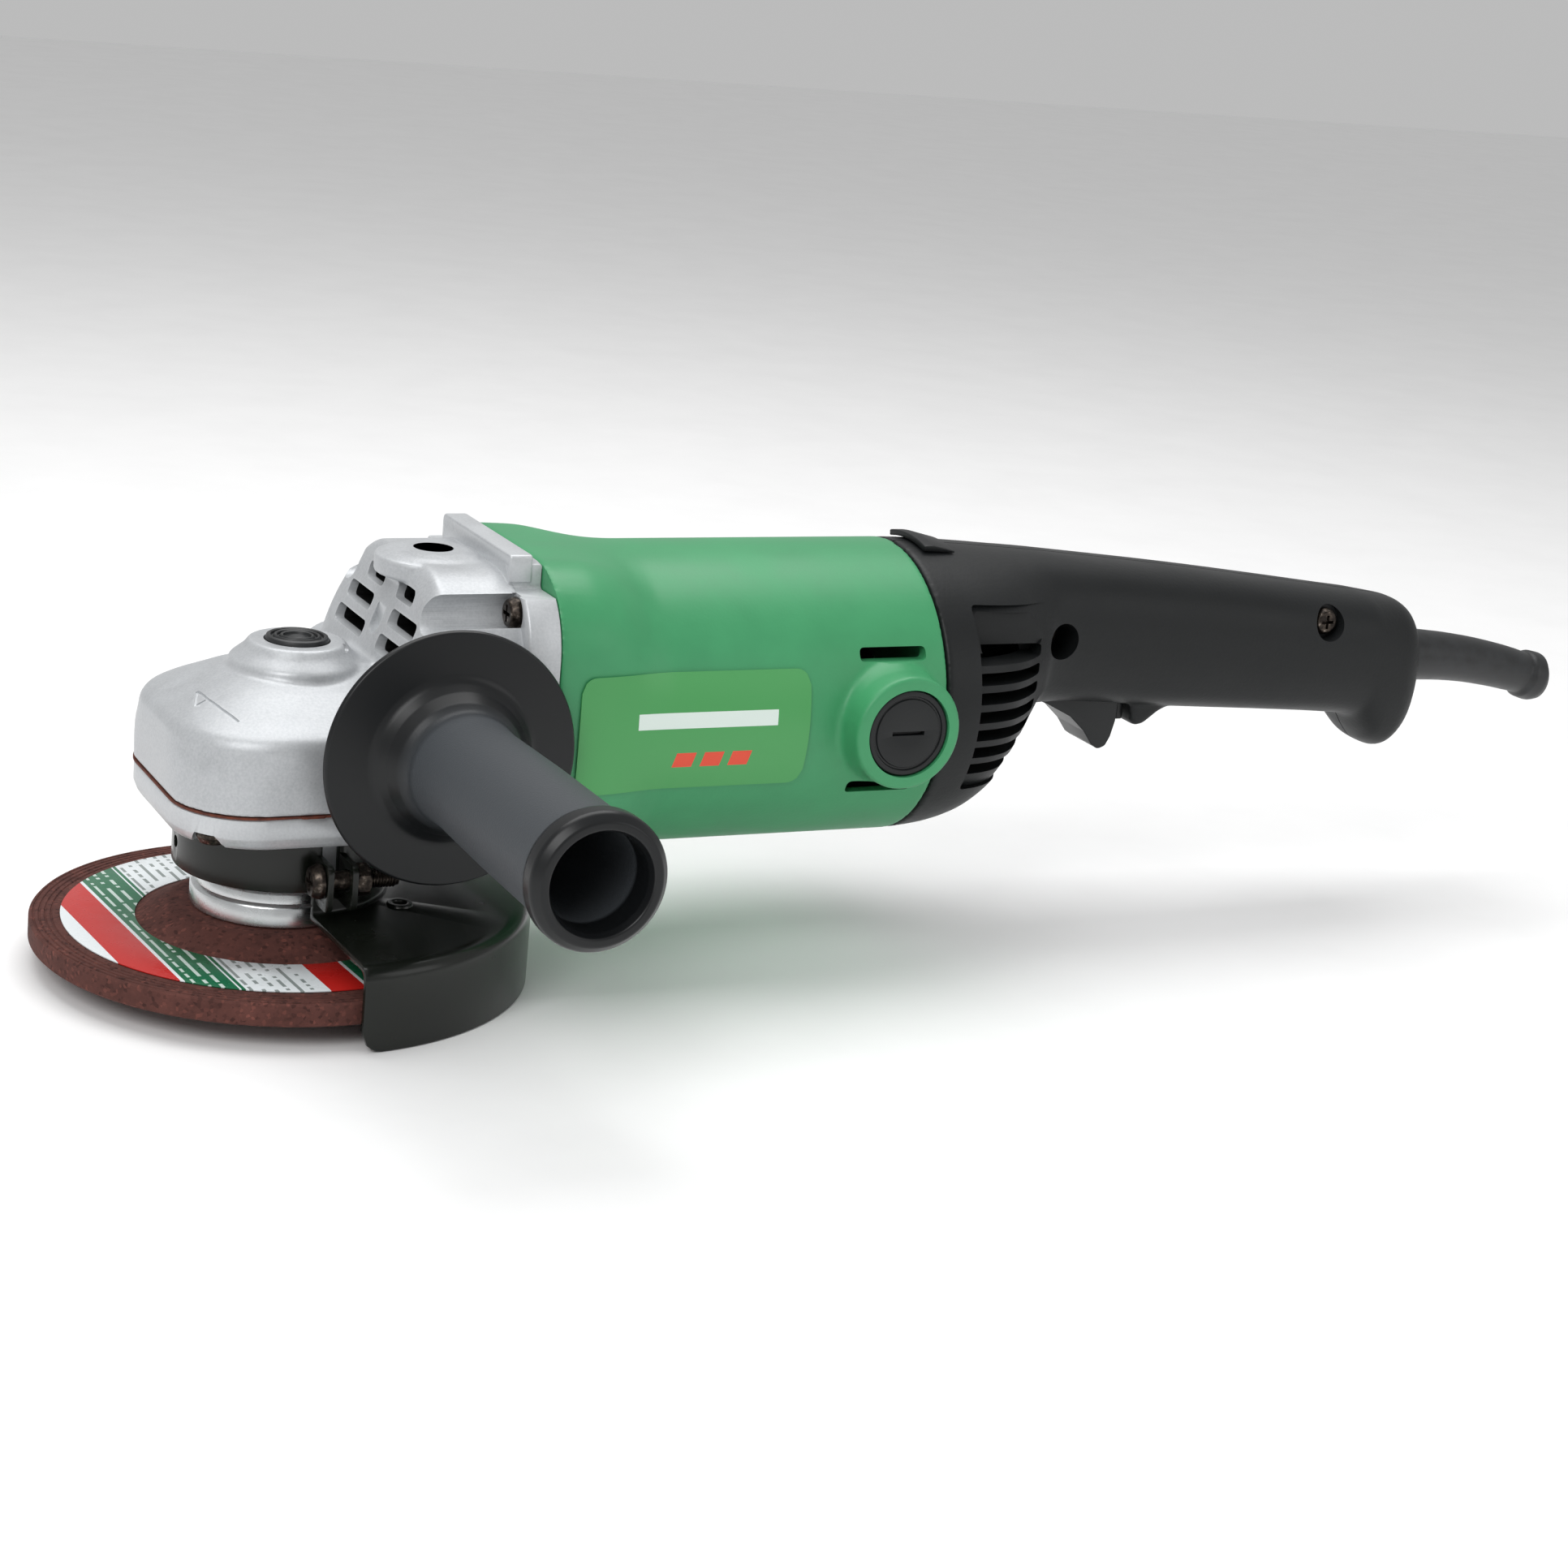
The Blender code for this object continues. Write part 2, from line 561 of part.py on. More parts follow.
def build_bearing_cover():
    top = COVER_Z + COVER_T
    rings = [plan_outline(NOSE_FRONT - 1.4 * MM, COVER_BACK - 1.4 * MM, NOSE_HALF - 1.9 * MM, CORNER_R,
                          CORNER_R,
                          COVER_Z),
             plan_outline(NOSE_FRONT, COVER_BACK, NOSE_HALF - 0.5 * MM, CORNER_R, CORNER_R,
                          COVER_Z + 2.5 * MM),
             plan_outline(NOSE_FRONT, COVER_BACK, NOSE_HALF - 0.5 * MM, CORNER_R, CORNER_R, top)]
    cover = lofted("bearing_cover", CAST, rings)
    add(cover, rod("neck", CAST, COVER_NECK_R, (0, 0, COVER_NECK_Z), (0, 0, COVER_Z + 1 * MM), FINE))
    bearing_low = COVER_NECK_Z + 6.6 * MM
    drill(cover, 11.0 * MM, (0, 0, COVER_NECK_Z - 1 * MM), (0, 0, top + 1 * MM), 28)
    drill(cover, 17.5 * MM + SEAT, (0, 0, bearing_low - SEAT), (0, 0, top + 1 * MM), 28)
    drill(cover, 13.8 * MM + SEAT, (0, 0, COVER_NECK_Z + 1.0 * MM), (0, 0, COVER_NECK_Z + 5.8 * MM), 28)
    seat = COVER_Z + 3.4 * MM
    for i, (x, y) in enumerate(cover_screw_places()):
        drill(cover, SCREW_HEAD_R + 0.9 * MM, (x, y, COVER_Z - 1 * MM), (x, y, seat), SMALL)
        drill(cover, COVER_SCREW_R + SEAT, (x, y, seat - 1 * MM), (x, y, top + 1 * MM), 12)
        pan_screw(f"cover_screw_{i + 1}", DARK_STEEL, (x, y, seat - SEAT), (0, 0, 1), 15.0 * MM,
                  COVER_SCREW_R)
    low = top + THIN_SEAT
    gasket = lofted("head_gasket", PAPER_BROWN,
                    [plan_outline(NOSE_FRONT, COVER_BACK, NOSE_HALF, CORNER_R, CORNER_R, z)
                     for z in (low, low + GASKET_T)])
    drill(gasket, CHAMBER_R - 1.6 * MM, (0, 0, low - 1 * MM), (0, 0, low + 2 * MM), 36)
    for x, y in cover_screw_places():
        drill(gasket, COVER_SCREW_R + SEAT, (x, y, low - 1 * MM), (x, y, low + 2 * MM), 8)
    return low + GASKET_T + THIN_SEAT


def square_ring(half, corner, x, lean, steps=FINE):
    """Rounded square about the motor's axis, tipped back by lean metres per metre of height."""
    ring = []
    for i in range(steps):
        angle = 2 * math.pi * (i + 0.5) / steps
        reach = square_radius(angle, half, corner)
        rise = reach * math.sin(angle)
        ring.append((x + lean * rise, reach * math.cos(angle), MOTOR_Z + rise))
    return ring


def dome():
    """Fan housing's rounded front, leaning back above the gears."""
    rings = [square_ring(half * MM, corner * MM, x * MM, lean)
             for half, corner, x, lean in ((22.0, 17, 15.2, 0.36), (30.0, 21, 15.7, 0.35),
                                           (34.5, 23, 17.2, 0.29),
                                           (37.2, 24, 20.7, 0.22), (38.4, 25, 27.0, 0.08),
                                           (38.4, 25, 50.0, 0.0))]
    shape = lofted("dome", CAST, rings)
    return slot(shape, (-0.05, -0.06, 0), (0.06, 0.06, MOTOR_Z - 4 * MM))


def build_gear_head(base):
    rise = ((0.0, 34.0, 35.5, 20), (10.0, 34.5, 36.3, 23), (16.0, 34.3, 36.8, 26), (18.6, 33.2, 36.2, 26),
            (21.0, 30.4, 33.0, 25), (24.0, 25.2, 26.5, 21), (27.0, 19.0, 20.0, 16), (29.5, 12.8, 13.5, 11),
            (31.6, 8.5, 9.5, 8))
    rings = [plan_outline(front * MM, 49.0 * MM, half * MM, corner * MM, 4 * MM, base + up * MM)
             for up, front, half, corner in rise]
    head = lofted("gear_head", CAST, rings)
    add(head, dome())
    add(head, rod("fan_case", CAST, DOME_R + 0.3 * MM, (COVER_BACK + 3.5 * MM, 0, MOTOR_Z),
                  (PLATE_X + 1 * MM, 0, MOTOR_Z), 30))
    add(head, lofted("plate", CAST, [housing_ring(x, PLATE_HALF, PLATE_CORNER_R, 0)
                                     for x in (PLATE_X, PLATE_X + PLATE_T)]))
    add(head, rod("button_boss", CAST, BUTTON_BOSS_R, (BUTTON_X, 0, MOTOR_Z + 4 * MM),
                  (BUTTON_X, 0, BUTTON_BOSS_Z), 28))
    add(head, rod("top_boss", CAST, TOP_BOSS_R, (TOP_BOSS_X, 0, TOP_BOSS_Z - 10 * MM),
                  (TOP_BOSS_X, 0, TOP_BOSS_Z), 24))
    add(head, rod("side_bosses", CAST, SIDE_BOSS_R, (SIDE_BOSS_X, -SIDE_BOSS_Y, SIDE_BOSS_Z),
                  (SIDE_BOSS_X, SIDE_BOSS_Y, SIDE_BOSS_Z), 28))
    # hollows
    cut(head, turned("chamber", CAST,
                     rod_profile([(CHAMBER_R, base - 1 * MM), (CHAMBER_R, CHAMBER_WALL_TOP_Z),
                                  (19 * MM, CHAMBER_WALL_TOP_Z + 4 * MM), (13 * MM, CHAMBER_TOP_Z)]),
                     steps=40))
    cut(head, turned("pinion_bore", CAST,
                     rod_profile([(8.6 * MM, 13 * MM), (8.6 * MM, 18 * MM), (11.2 * MM, 27 * MM),
                                  (11.2 * MM, FRONT_BEARING_X)]), (1, 0, 0), (0, 0, MOTOR_Z), 20))
    cut(head, rod("bearing_seat", CAST, FRONT_BEARING_R + SEAT, (FRONT_BEARING_X - SEAT, 0, MOTOR_Z),
                  (FAN_CHAMBER_X + 1 * MM, 0, MOTOR_Z), 24))
    cut(head, rod("fan_chamber", CAST, FAN_R + 0.8 * MM, (FAN_CHAMBER_X, 0, MOTOR_Z), (70 * MM, 0, MOTOR_Z),
                  40))
    slot(head, (29.5 * MM, -20 * MM, MOTOR_Z + 16.5 * MM),
         (FAN_CHAMBER_X + 1 * MM, 20 * MM, MOTOR_Z + 29 * MM))
    for z, inner, outer in ((94.0, 5.0, 16.0), (87.4, 7.0, 19.0), (81.0, 5.0, 19.0)):
        for side in (-1, 1):
            y0, y1 = sorted((side * inner * MM, side * outer * MM))
            slot(head, (12 * MM, y0, (z - 2.0) * MM), (32 * MM, y1, (z + 2.0) * MM))
    # spindle lock well and its pin's hole
    drill(head, BUTTON_R + RUN, (BUTTON_X, 0, BUTTON_WELL_Z), (BUTTON_X, 0, BUTTON_BOSS_Z + 2 * MM), 24)
    drill(head, PIN_R + RUN, (PIN_X, 0, CHAMBER_TOP_Z - 2 * MM), (PIN_X, 0, BUTTON_WELL_Z + 1 * MM), 12)
    # handle sockets
    drill(head, SOCKET_R, (TOP_BOSS_X, 0, TOP_BOSS_Z + 1 * MM),
          (TOP_BOSS_X, 0, TOP_BOSS_Z - TOP_SOCKET_DEPTH), 20)
    for side in (-1, 1):
        drill(head, SOCKET_R, (SIDE_BOSS_X, side * (SIDE_BOSS_Y + 1 * MM), SIDE_BOSS_Z),
              (SIDE_BOSS_X, side * (SIDE_BOSS_Y - SOCKET_DEPTH), SIDE_BOSS_Z), 20)
    for x, y in cover_screw_places():
        drill(head, COVER_SCREW_R + SEAT, (x, y, base - 1 * MM), (x, y, base + 11 * MM), 12)
    for i, (y, z) in enumerate(case_screw_places()):
        drill(head, SCREW_HEAD_R + 1.0 * MM, (22 * MM, y, z), (PLATE_X + 0.8 * MM, y, z), SMALL)
        drill(head, CASE_SCREW_R + SEAT, (PLATE_X, y, z), (PLATE_X + PLATE_T + 1 * MM, y, z), 12)
        pan_screw(f"case_screw_{i + 1}", DARK_STEEL, (PLATE_X + 0.8 * MM - SEAT, y, z), (1, 0, 0),
                  CASE_SCREW_LENGTH, CASE_SCREW_R)


def build_spindle_lock(nut_top):
    low = BUTTON_TOP_Z - BUTTON_T
    turned("lock_button", RUBBER,
           rod_profile([(BUTTON_R, low), (BUTTON_R, BUTTON_TOP_Z - 0.8 * MM),
                        (BUTTON_R - 0.8 * MM, BUTTON_TOP_Z),
                        (5.6 * MM, BUTTON_TOP_Z), (5.3 * MM, BUTTON_TOP_Z - 0.5 * MM),
                        (4.6 * MM, BUTTON_TOP_Z - 0.5 * MM), (4.3 * MM, BUTTON_TOP_Z)]),
           origin=(BUTTON_X, 0, 0), steps=28)
    rod("lock_pin", STEEL, PIN_R, (PIN_X, 0, nut_top + 0.6 * MM), (PIN_X, 0, low - SEAT), 12)
    turns, wire, coil = 3, 0.45 * MM, 2.6 * MM
    floor, ceiling = BUTTON_WELL_Z + wire + SEAT, low - wire - SEAT
    curve = bpy.data.curves.new("lock_spring", "CURVE")
    curve.dimensions = "3D"
    curve.bevel_depth = wire
    curve.bevel_resolution = 1
    curve.use_fill_caps = True
    line = curve.splines.new("POLY")
    count = turns * 10 + 1
    line.points.add(count - 1)
    for i, point in enumerate(line.points):
        angle = 2 * math.pi * i / 10
        point.co = (BUTTON_X + coil * math.cos(angle), coil * math.sin(angle),
                    floor + (ceiling - floor) * i / (count - 1), 1)
    spring = bpy.data.objects.new("lock_spring", curve)
    bpy.context.collection.objects.link(spring)
    curve.materials.append(material(*STEEL))


# ---- motor ------------------------------------------------------------------
def build_housing():
    front = HOUSING_X
    rings = [housing_ring(x, PLATE_HALF, PLATE_CORNER_R, blend) for x, blend in HOUSING_BLEND]
    housing = lofted("motor_housing", GREEN, rings)
    add(housing, turned("brush_boss", GREEN,
                        rod_profile([(BRUSH_BOSS_R, -36 * MM),
                                     (BRUSH_BOSS_R, -BRUSH_FACE_Y + 1 * MM),
                                     (BRUSH_BOSS_R - 1 * MM, -BRUSH_FACE_Y)]),
                        (0, 1, 0), (BRUSH_X, 0, MOTOR_Z), 36),
        turned("brush_boss_far", GREEN,
               rod_profile([(BRUSH_BOSS_R, -36 * MM),
                            (BRUSH_BOSS_R, -BRUSH_FACE_Y + 1 * MM), (BRUSH_BOSS_R - 1 * MM, -BRUSH_FACE_Y)]),
               (0, -1, 0), (BRUSH_X, 0, MOTOR_Z), 36))
    cut(housing, rod("bore", GREEN, HOUSING_BORE_R, (front - 1 * MM, 0, MOTOR_Z), (BULKHEAD_X, 0, MOTOR_Z),
                     FINE))
    drill(housing, REAR_BEARING_R + SEAT, (BULKHEAD_X - 1 * MM, 0, MOTOR_Z),
          (HOUSING_END_X + 1 * MM, 0, MOTOR_Z), 28)
    for side in (-1, 1):
        drill(housing, CAP_R + SEAT, (BRUSH_X, side * (BRUSH_FACE_Y + 1 * MM), MOTOR_Z),
              (BRUSH_X, side * (BRUSH_FACE_Y - CAP_T - 1 * MM), MOTOR_Z), 36)
        y0, y1 = sorted((side * 30 * MM, side * (BRUSH_FACE_Y - CAP_T)))
        slot(housing, (BRUSH_X - 4.8 * MM, y0, MOTOR_Z - 6.8 * MM),
             (BRUSH_X + 4.8 * MM, y1, MOTOR_Z + 6.8 * MM))
        for dz in (-VENT_SLOT_Z, VENT_SLOT_Z):
            y0, y1 = sorted((side * 30 * MM, side * 45 * MM))
            slot(housing, (BRUSH_X - VENT_SLOT_L / 2, y0, MOTOR_Z + dz - VENT_SLOT_H / 2),
                 (BRUSH_X + VENT_SLOT_L / 2, y1, MOTOR_Z + dz + VENT_SLOT_H / 2))
    for y, z in case_screw_places():
        drill(housing, CASE_SCREW_R + SEAT, (front - 1 * MM, y, z),
              (PLATE_X + CASE_SCREW_LENGTH + 3 * MM, y, z), 12)
    build_nameplate()


def housing_reach(x, height):
    """Angle and distance from the motor's axis of the housing's -Y side, at a height over the axis."""
    for (x0, blend0), (x1, blend1) in zip(HOUSING_BLEND, HOUSING_BLEND[1:]):
        if x0 <= x <= x1:
            blend = blend0 + (blend1 - blend0) * (x - x0) / (x1 - x0)
            break
    angle = math.pi
    for _ in range(8):
        reach = (1 - blend) * square_radius(angle, PLATE_HALF, PLATE_CORNER_R) + blend * HOUSING_R
        angle = math.pi - math.asin(height / reach)
    return angle, reach


def build_nameplate():
    """Thin plate that follows the housing's side."""
    rings = []
    bends = [x for x, _ in HOUSING_BLEND if PLATE_LABEL_X0 < x < PLATE_LABEL_X1]
    for x in [PLATE_LABEL_X0, *bends, PLATE_LABEL_X1]:
        inner, outer = [], []
        for i in range(NAMEPLATE_STEPS + 1):
            height = PLATE_LABEL_HALF * (2 * i / NAMEPLATE_STEPS - 1)
            angle, reach = housing_reach(x, height)
            for line, lift in ((inner, THIN_SEAT), (outer, THIN_SEAT + PLATE_LABEL_T)):
                line.append((x, (reach + lift) * math.cos(angle), MOTOR_Z + (reach + lift) * math.sin(angle)))
        rings.append(inner + outer[::-1])
    lofted("nameplate", LABEL_GREEN, rings)


def motor_rod(name, look, stations, steps=28):
    """Turned piece on the motor's axis from (radius, x) steps."""
    return turned(name, look, rod_profile(stations), (1, 0, 0), (0, 0, MOTOR_Z), steps)


def motor_ring(name, look, inner, outer, x0, x1, steps=32):
    return turned(name, look, ring_profile(inner, outer, x0, x1), (1, 0, 0), (0, 0, MOTOR_Z), steps)


def build_armature():
    bearing_end = FRONT_BEARING_X + BEARING_W
    comm_x0, comm_x1 = BRUSH_X - 9.0 * MM, BRUSH_X + 9.0 * MM
    motor_rod("armature_shaft", STEEL, [(3.5 * MM, 19.0 * MM), (3.5 * MM, FRONT_BEARING_X - 2 * SEAT),
                                        (5.0 * MM, FRONT_BEARING_X - 2 * SEAT), (5.0 * MM, CORE_X1 + 20 * MM),
                                        (4.0 * MM, CORE_X1 + 20 * MM), (4.0 * MM, HOUSING_END_X + 3 * MM)],
              20)
    bore = 5.0 * MM + SEAT
    core = motor_ring("armature_core", STEEL, bore, CORE_R, CORE_X0, CORE_X1, 36)
    for i in range(12):
        angle = 2 * math.pi * (i + 0.3) / 12
        y, z = CORE_R * math.cos(angle), MOTOR_Z + CORE_R * math.sin(angle)
        drill(core, 1.4 * MM, (CORE_X0 - 1 * MM, y, z), (CORE_X1 + 1 * MM, y, z), 6)
    for name, x0, x1 in (("front", CORE_X0 - 10 * MM, CORE_X0 - SEAT),
                         ("rear", CORE_X1 + SEAT, comm_x0 - 3 * MM)):
        turned(f"armature_winding_{name}", COPPER,
               [(bore, x0), (15 * MM, x0), (18.5 * MM, x0 + 3 * MM), (18.5 * MM, x1 - 2 * MM), (17 * MM, x1),
                (bore, x1)], (1, 0, 0), (0, 0, MOTOR_Z), 28)
    motor_ring("commutator", COPPER, bore, COMMUTATOR_R, comm_x0, comm_x1 - 2 * MM, 28)
    motor_ring("front_bearing", STEEL, 5.0 * MM + RUN, FRONT_BEARING_R, FRONT_BEARING_X, bearing_end, 24)
    motor_ring("rear_bearing", STEEL, 4.0 * MM + RUN, REAR_BEARING_R, BULKHEAD_X, HOUSING_END_X - 0.5 * MM,
               24)
    fan = turned("cooling_fan", BLACK,
                 [(bore, FAN_X), (FAN_R - 8 * MM, FAN_X + 1.5 * MM), (FAN_R, FAN_X + 3 * MM),
                  (FAN_R, FAN_X + 4.4 * MM), (FAN_R - 8 * MM, FAN_X + 3.4 * MM), (11 * MM, FAN_X + 3 * MM),
                  (10 * MM, FAN_X + FAN_DEPTH), (bore, FAN_X + FAN_DEPTH)], (1, 0, 0), (0, 0, MOTOR_Z), 21)
    for i in range(FAN_BLADES):
        angle = 2 * math.pi * (i + 0.25) / FAN_BLADES
        blade = block("blade", BLACK, (FAN_X + 2 * MM, -0.7 * MM, 16 * MM),
                      (FAN_X + FAN_DEPTH, 0.7 * MM, FAN_R - 0.6 * MM))
        blade.data.transform(Matrix.Translation((0, 0, MOTOR_Z)) @ Matrix.Rotation(angle, 4, "X"))
        add(fan, blade)


def build_stator():
    stator = motor_ring("stator_core", STEEL, 30.6 * MM, STATOR_R, CORE_X0 + 2 * MM, CORE_X1 - 2 * MM, 36)
    pole = ring_profile(STATOR_BORE_R, 31.5 * MM, CORE_X0 + 2 * MM, CORE_X1 - 2 * MM)
    window = ring_profile(10 * MM, 45 * MM, CORE_X0 + 2 * MM - SEAT, CORE_X1 - 2 * MM + SEAT)
    coil = ring_profile(22.3 * MM, 29.8 * MM, CORE_X0 - 6 * MM, CORE_X1 + 6 * MM)
    for name, zero in (("upper", 180.0), ("lower", 0.0)):
        place = ((1, 0, 0), (0, 0, MOTOR_Z), zero)
        add(stator, swept("pole", STEEL, pole, -POLE_HALF_ANGLE, POLE_HALF_ANGLE, 12, *place))
        winding = swept(f"field_coil_{name}", COPPER, coil, -COIL_HALF_ANGLE, COIL_HALF_ANGLE, 16, *place)
        reach = POLE_HALF_ANGLE + 1.2
        cut(winding, swept("window", COPPER, window, -reach, reach, 12, *place))
    motor_ring("fan_baffle", BLACK, 24 * MM, HOUSING_BORE_R - SEAT, 60.0 * MM, 62.0 * MM, 40)


def build_brushes():
    for name, side in (("left", -1), ("right", 1)):
        face = side * BRUSH_FACE_Y
        tip = side * (COMMUTATOR_R + RUN)
        inner, outer = side * 18 * MM, side * (BRUSH_FACE_Y - CAP_T - 2.2 * MM)
        y0, y1 = sorted((inner, outer))
        holder = block(f"brush_holder_{name}", BRASS, (BRUSH_X - 4.4 * MM, y0, MOTOR_Z - 6.4 * MM),
                       (BRUSH_X + 4.4 * MM, y1, MOTOR_Z + 6.4 * MM))
        slot(holder, (BRUSH_X - 3.3 * MM, y0 - 1 * MM, MOTOR_Z - 5.3 * MM),
             (BRUSH_X + 3.3 * MM, y1 + 1 * MM, MOTOR_Z + 5.3 * MM))
        y0, y1 = sorted((tip, side * 30 * MM))
        block(f"carbon_brush_{name}", CARBON, (BRUSH_X - 3.0 * MM, y0, MOTOR_Z - 5.0 * MM),
              (BRUSH_X + 3.0 * MM, y1, MOTOR_Z + 5.0 * MM))
        profile = rod_profile([(CAP_R - 1.2 * MM, 0), (CAP_R - 1.2 * MM, CAP_T - 2.4 * MM),
                               (CAP_R, CAP_T - 2.4 * MM),
                               (CAP_R, CAP_T - 0.4 * MM), (CAP_R - 0.4 * MM, CAP_T)])
        start = face - side * (CAP_T + 0.6 * MM)
        cap = turned(f"brush_cap_{name}", BLACK, profile, (0, side, 0), (BRUSH_X, start, MOTOR_Z), 28)
        y0, y1 = sorted((face - side * 2.0 * MM, face + side * 2.0 * MM))
        slot(cap, (BRUSH_X - 4.8 * MM, y0, MOTOR_Z - 0.5 * MM), (BRUSH_X + 4.8 * MM, y1, MOTOR_Z + 0.5 * MM))


# ---- guard ------------------------------------------------------------------
def build_guard():
    inner = BAND_R - BAND_T
    low, high = GUARD_PLATE_Z - GUARD_T, GUARD_PLATE_Z
    skin = GUARD_R - GUARD_T
    outline = [(inner, BAND_Z - SEAT), (inner, low), (skin - 3.0 * MM, low),
               (skin - 0.9 * MM, low - 0.9 * MM),
               (skin, low - 3.0 * MM), (skin, GUARD_SKIRT_Z), (GUARD_R, GUARD_SKIRT_Z),
               (GUARD_R, low - 2.4 * MM),
               (GUARD_R - 1.3 * MM, high - 1.3 * MM), (GUARD_R - 4.0 * MM, high), (BAND_R, high),
               (BAND_R, BAND_Z - SEAT)]
    shell = swept("guard_shell", GUARD_BLACK, outline, -GUARD_HALF_ANGLE, GUARD_HALF_ANGLE, 24)
    drill(shell, 2.0 * MM, (25.5 * MM, -23 * MM, low - 2 * MM), (25.5 * MM, -23 * MM, high + 2 * MM), 12)
    top = BAND_Z + BAND_H
    gap_a = math.degrees(math.atan2(-math.sqrt(BAND_R ** 2 - SPLIT_X1 ** 2), SPLIT_X1))
    gap_b = 360 + math.degrees(math.atan2(-math.sqrt(BAND_R ** 2 - SPLIT_X0 ** 2), SPLIT_X0))
    band = swept("guard_band", GUARD_BLACK, ring_profile(inner, BAND_R, BAND_Z, top), gap_a, gap_b, 32)
    ear_low, ear_high = CLAMP_Z - 5.0 * MM, CLAMP_Z + 5.0 * MM
    root_y = -inner - 0.3 * MM
    for x0, x1 in ((SPLIT_X0 - BAND_T, SPLIT_X0), (SPLIT_X1, SPLIT_X1 + BAND_T)):
        add(band, block("ear", GUARD_BLACK, (x0, CLAMP_Y - 4.6 * MM, ear_low),
                        (x1, root_y if x0 < SPLIT_X0 else root_y + 1.1 * MM, ear_high)))
    drill(band, CLAMP_R + SEAT, (-2 * MM, CLAMP_Y, CLAMP_Z), (12 * MM, CLAMP_Y, CLAMP_Z), SMALL)
    drill(band, 1.6 * MM, (-30 * MM, 0.3 * MM, BAND_Z + 6.2 * MM), (-20 * MM, 0.3 * MM, BAND_Z + 6.2 * MM),
          10)
    head_x = SPLIT_X0 - BAND_T - SEAT
    pan_screw("clamp_screw", DARK_STEEL, (head_x, CLAMP_Y, CLAMP_Z), (1, 0, 0), 20.0 * MM, CLAMP_R,
              4.5 * MM, 3.0 * MM)
    nut_x = SPLIT_X1 + BAND_T + SEAT
    nut = rod("clamp_nut", DARK_STEEL, 4.5 * MM, (nut_x, CLAMP_Y, CLAMP_Z),
              (nut_x + 3.6 * MM, CLAMP_Y, CLAMP_Z), 6)
    drill(nut, CLAMP_R + SEAT, (nut_x - 1 * MM, CLAMP_Y, CLAMP_Z), (nut_x + 5 * MM, CLAMP_Y, CLAMP_Z), 12)


# ---- side handle ------------------------------------------------------------
def build_side_handle():
    start = SIDE_BOSS_Y + SEAT
    end = -GRIP_END_Y
    profile = [(STUD_R + SEAT, start), (14 * MM, start), (GUARD_DISC_R - 1.0 * MM, start + 0.4 * MM),
               (GUARD_DISC_R, start + 1.2 * MM), (GUARD_DISC_R - 0.6 * MM, start + 2.4 * MM),
               (21 * MM, start + 3.2 * MM), (18.5 * MM, start + 6 * MM), (16.5 * MM, start + 9 * MM),
               (14.6 * MM, start + 11 * MM), (14.2 * MM, start + 20 * MM),
               (GRIP_R - 0.2 * MM, start + 50 * MM),
               (GRIP_R, end - 10 * MM), (GRIP_BEAD_R, end - 6 * MM), (GRIP_BEAD_R, end - 2 * MM),
               (GRIP_BEAD_R - 2 * MM, end), (GRIP_HOLE_R + 0.8 * MM, end), (GRIP_HOLE_R, end - 2 * MM),
               (GRIP_HOLE_R - 1.5 * MM, start + 38 * MM), (STUD_R + SEAT, start + 38 * MM)]
    turned("side_handle", BLACK, profile, (0, -1, 0), (SIDE_BOSS_X, 0, SIDE_BOSS_Z), 26)
    tip = SIDE_BOSS_Y - SOCKET_DEPTH + 1.5 * MM
    motor_side = rod_profile([(STUD_R - 0.8 * MM, tip), (STUD_R, tip + 0.8 * MM), (STUD_R, start + 36 * MM)])
    turned("handle_stud", ZINC, motor_side, (0, -1, 0), (SIDE_BOSS_X, 0, SIDE_BOSS_Z), 20)


# ---- rear handle ------------------------------------------------------------
STATIONS = (
    # x, top, bottom, half width, roundness power
    (171.4, 104.5, 23.1, 40.7, 2.0), (180, 104.2, 24.0, 40.3, 2.0), (188, 103.7, 26.2, 39.0, 2.05),
    (195, 103.2, 30.2, 36.5, 2.1), (201, 102.7, 36.5, 32.5, 2.2), (206, 102.3, 43.0, 28.0, 2.3),
    (211, 101.9, 51.0, 23.5, 2.5), (216, 101.5, 57.5, 20.5, 2.6), (224, 100.7, 58.0, 19.5, 2.7),
    (267, 96.2, 55.2, 18.5, 2.8), (300, 92.2, 53.2, 18.0, 2.8), (322, 89.4, 51.6, 17.5, 2.8),
    (331, 88.3, 50.4, 17.3, 2.8), (335, 87.7, 45.5, 17.2, 2.7), (339, 87.1, 41.6, 17.0, 2.6),
    (344, 86.2, 39.9, 16.6, 2.5), (348, 84.3, 42.5, 15.3, 2.5), (350.4, 81.0, 49.0, 13.0, 2.4),
    (351.5, 77.0, 55.0, 10.5, 2.2),
)


def tail_rings(inset, first, last):
    rings = []
    for x, top, bottom, half, power in STATIONS:
        if x * MM > last:
            break
        rings.append(oval_ring(max(x * MM, first), top * MM, bottom * MM, half * MM, power, inset))
    return rings


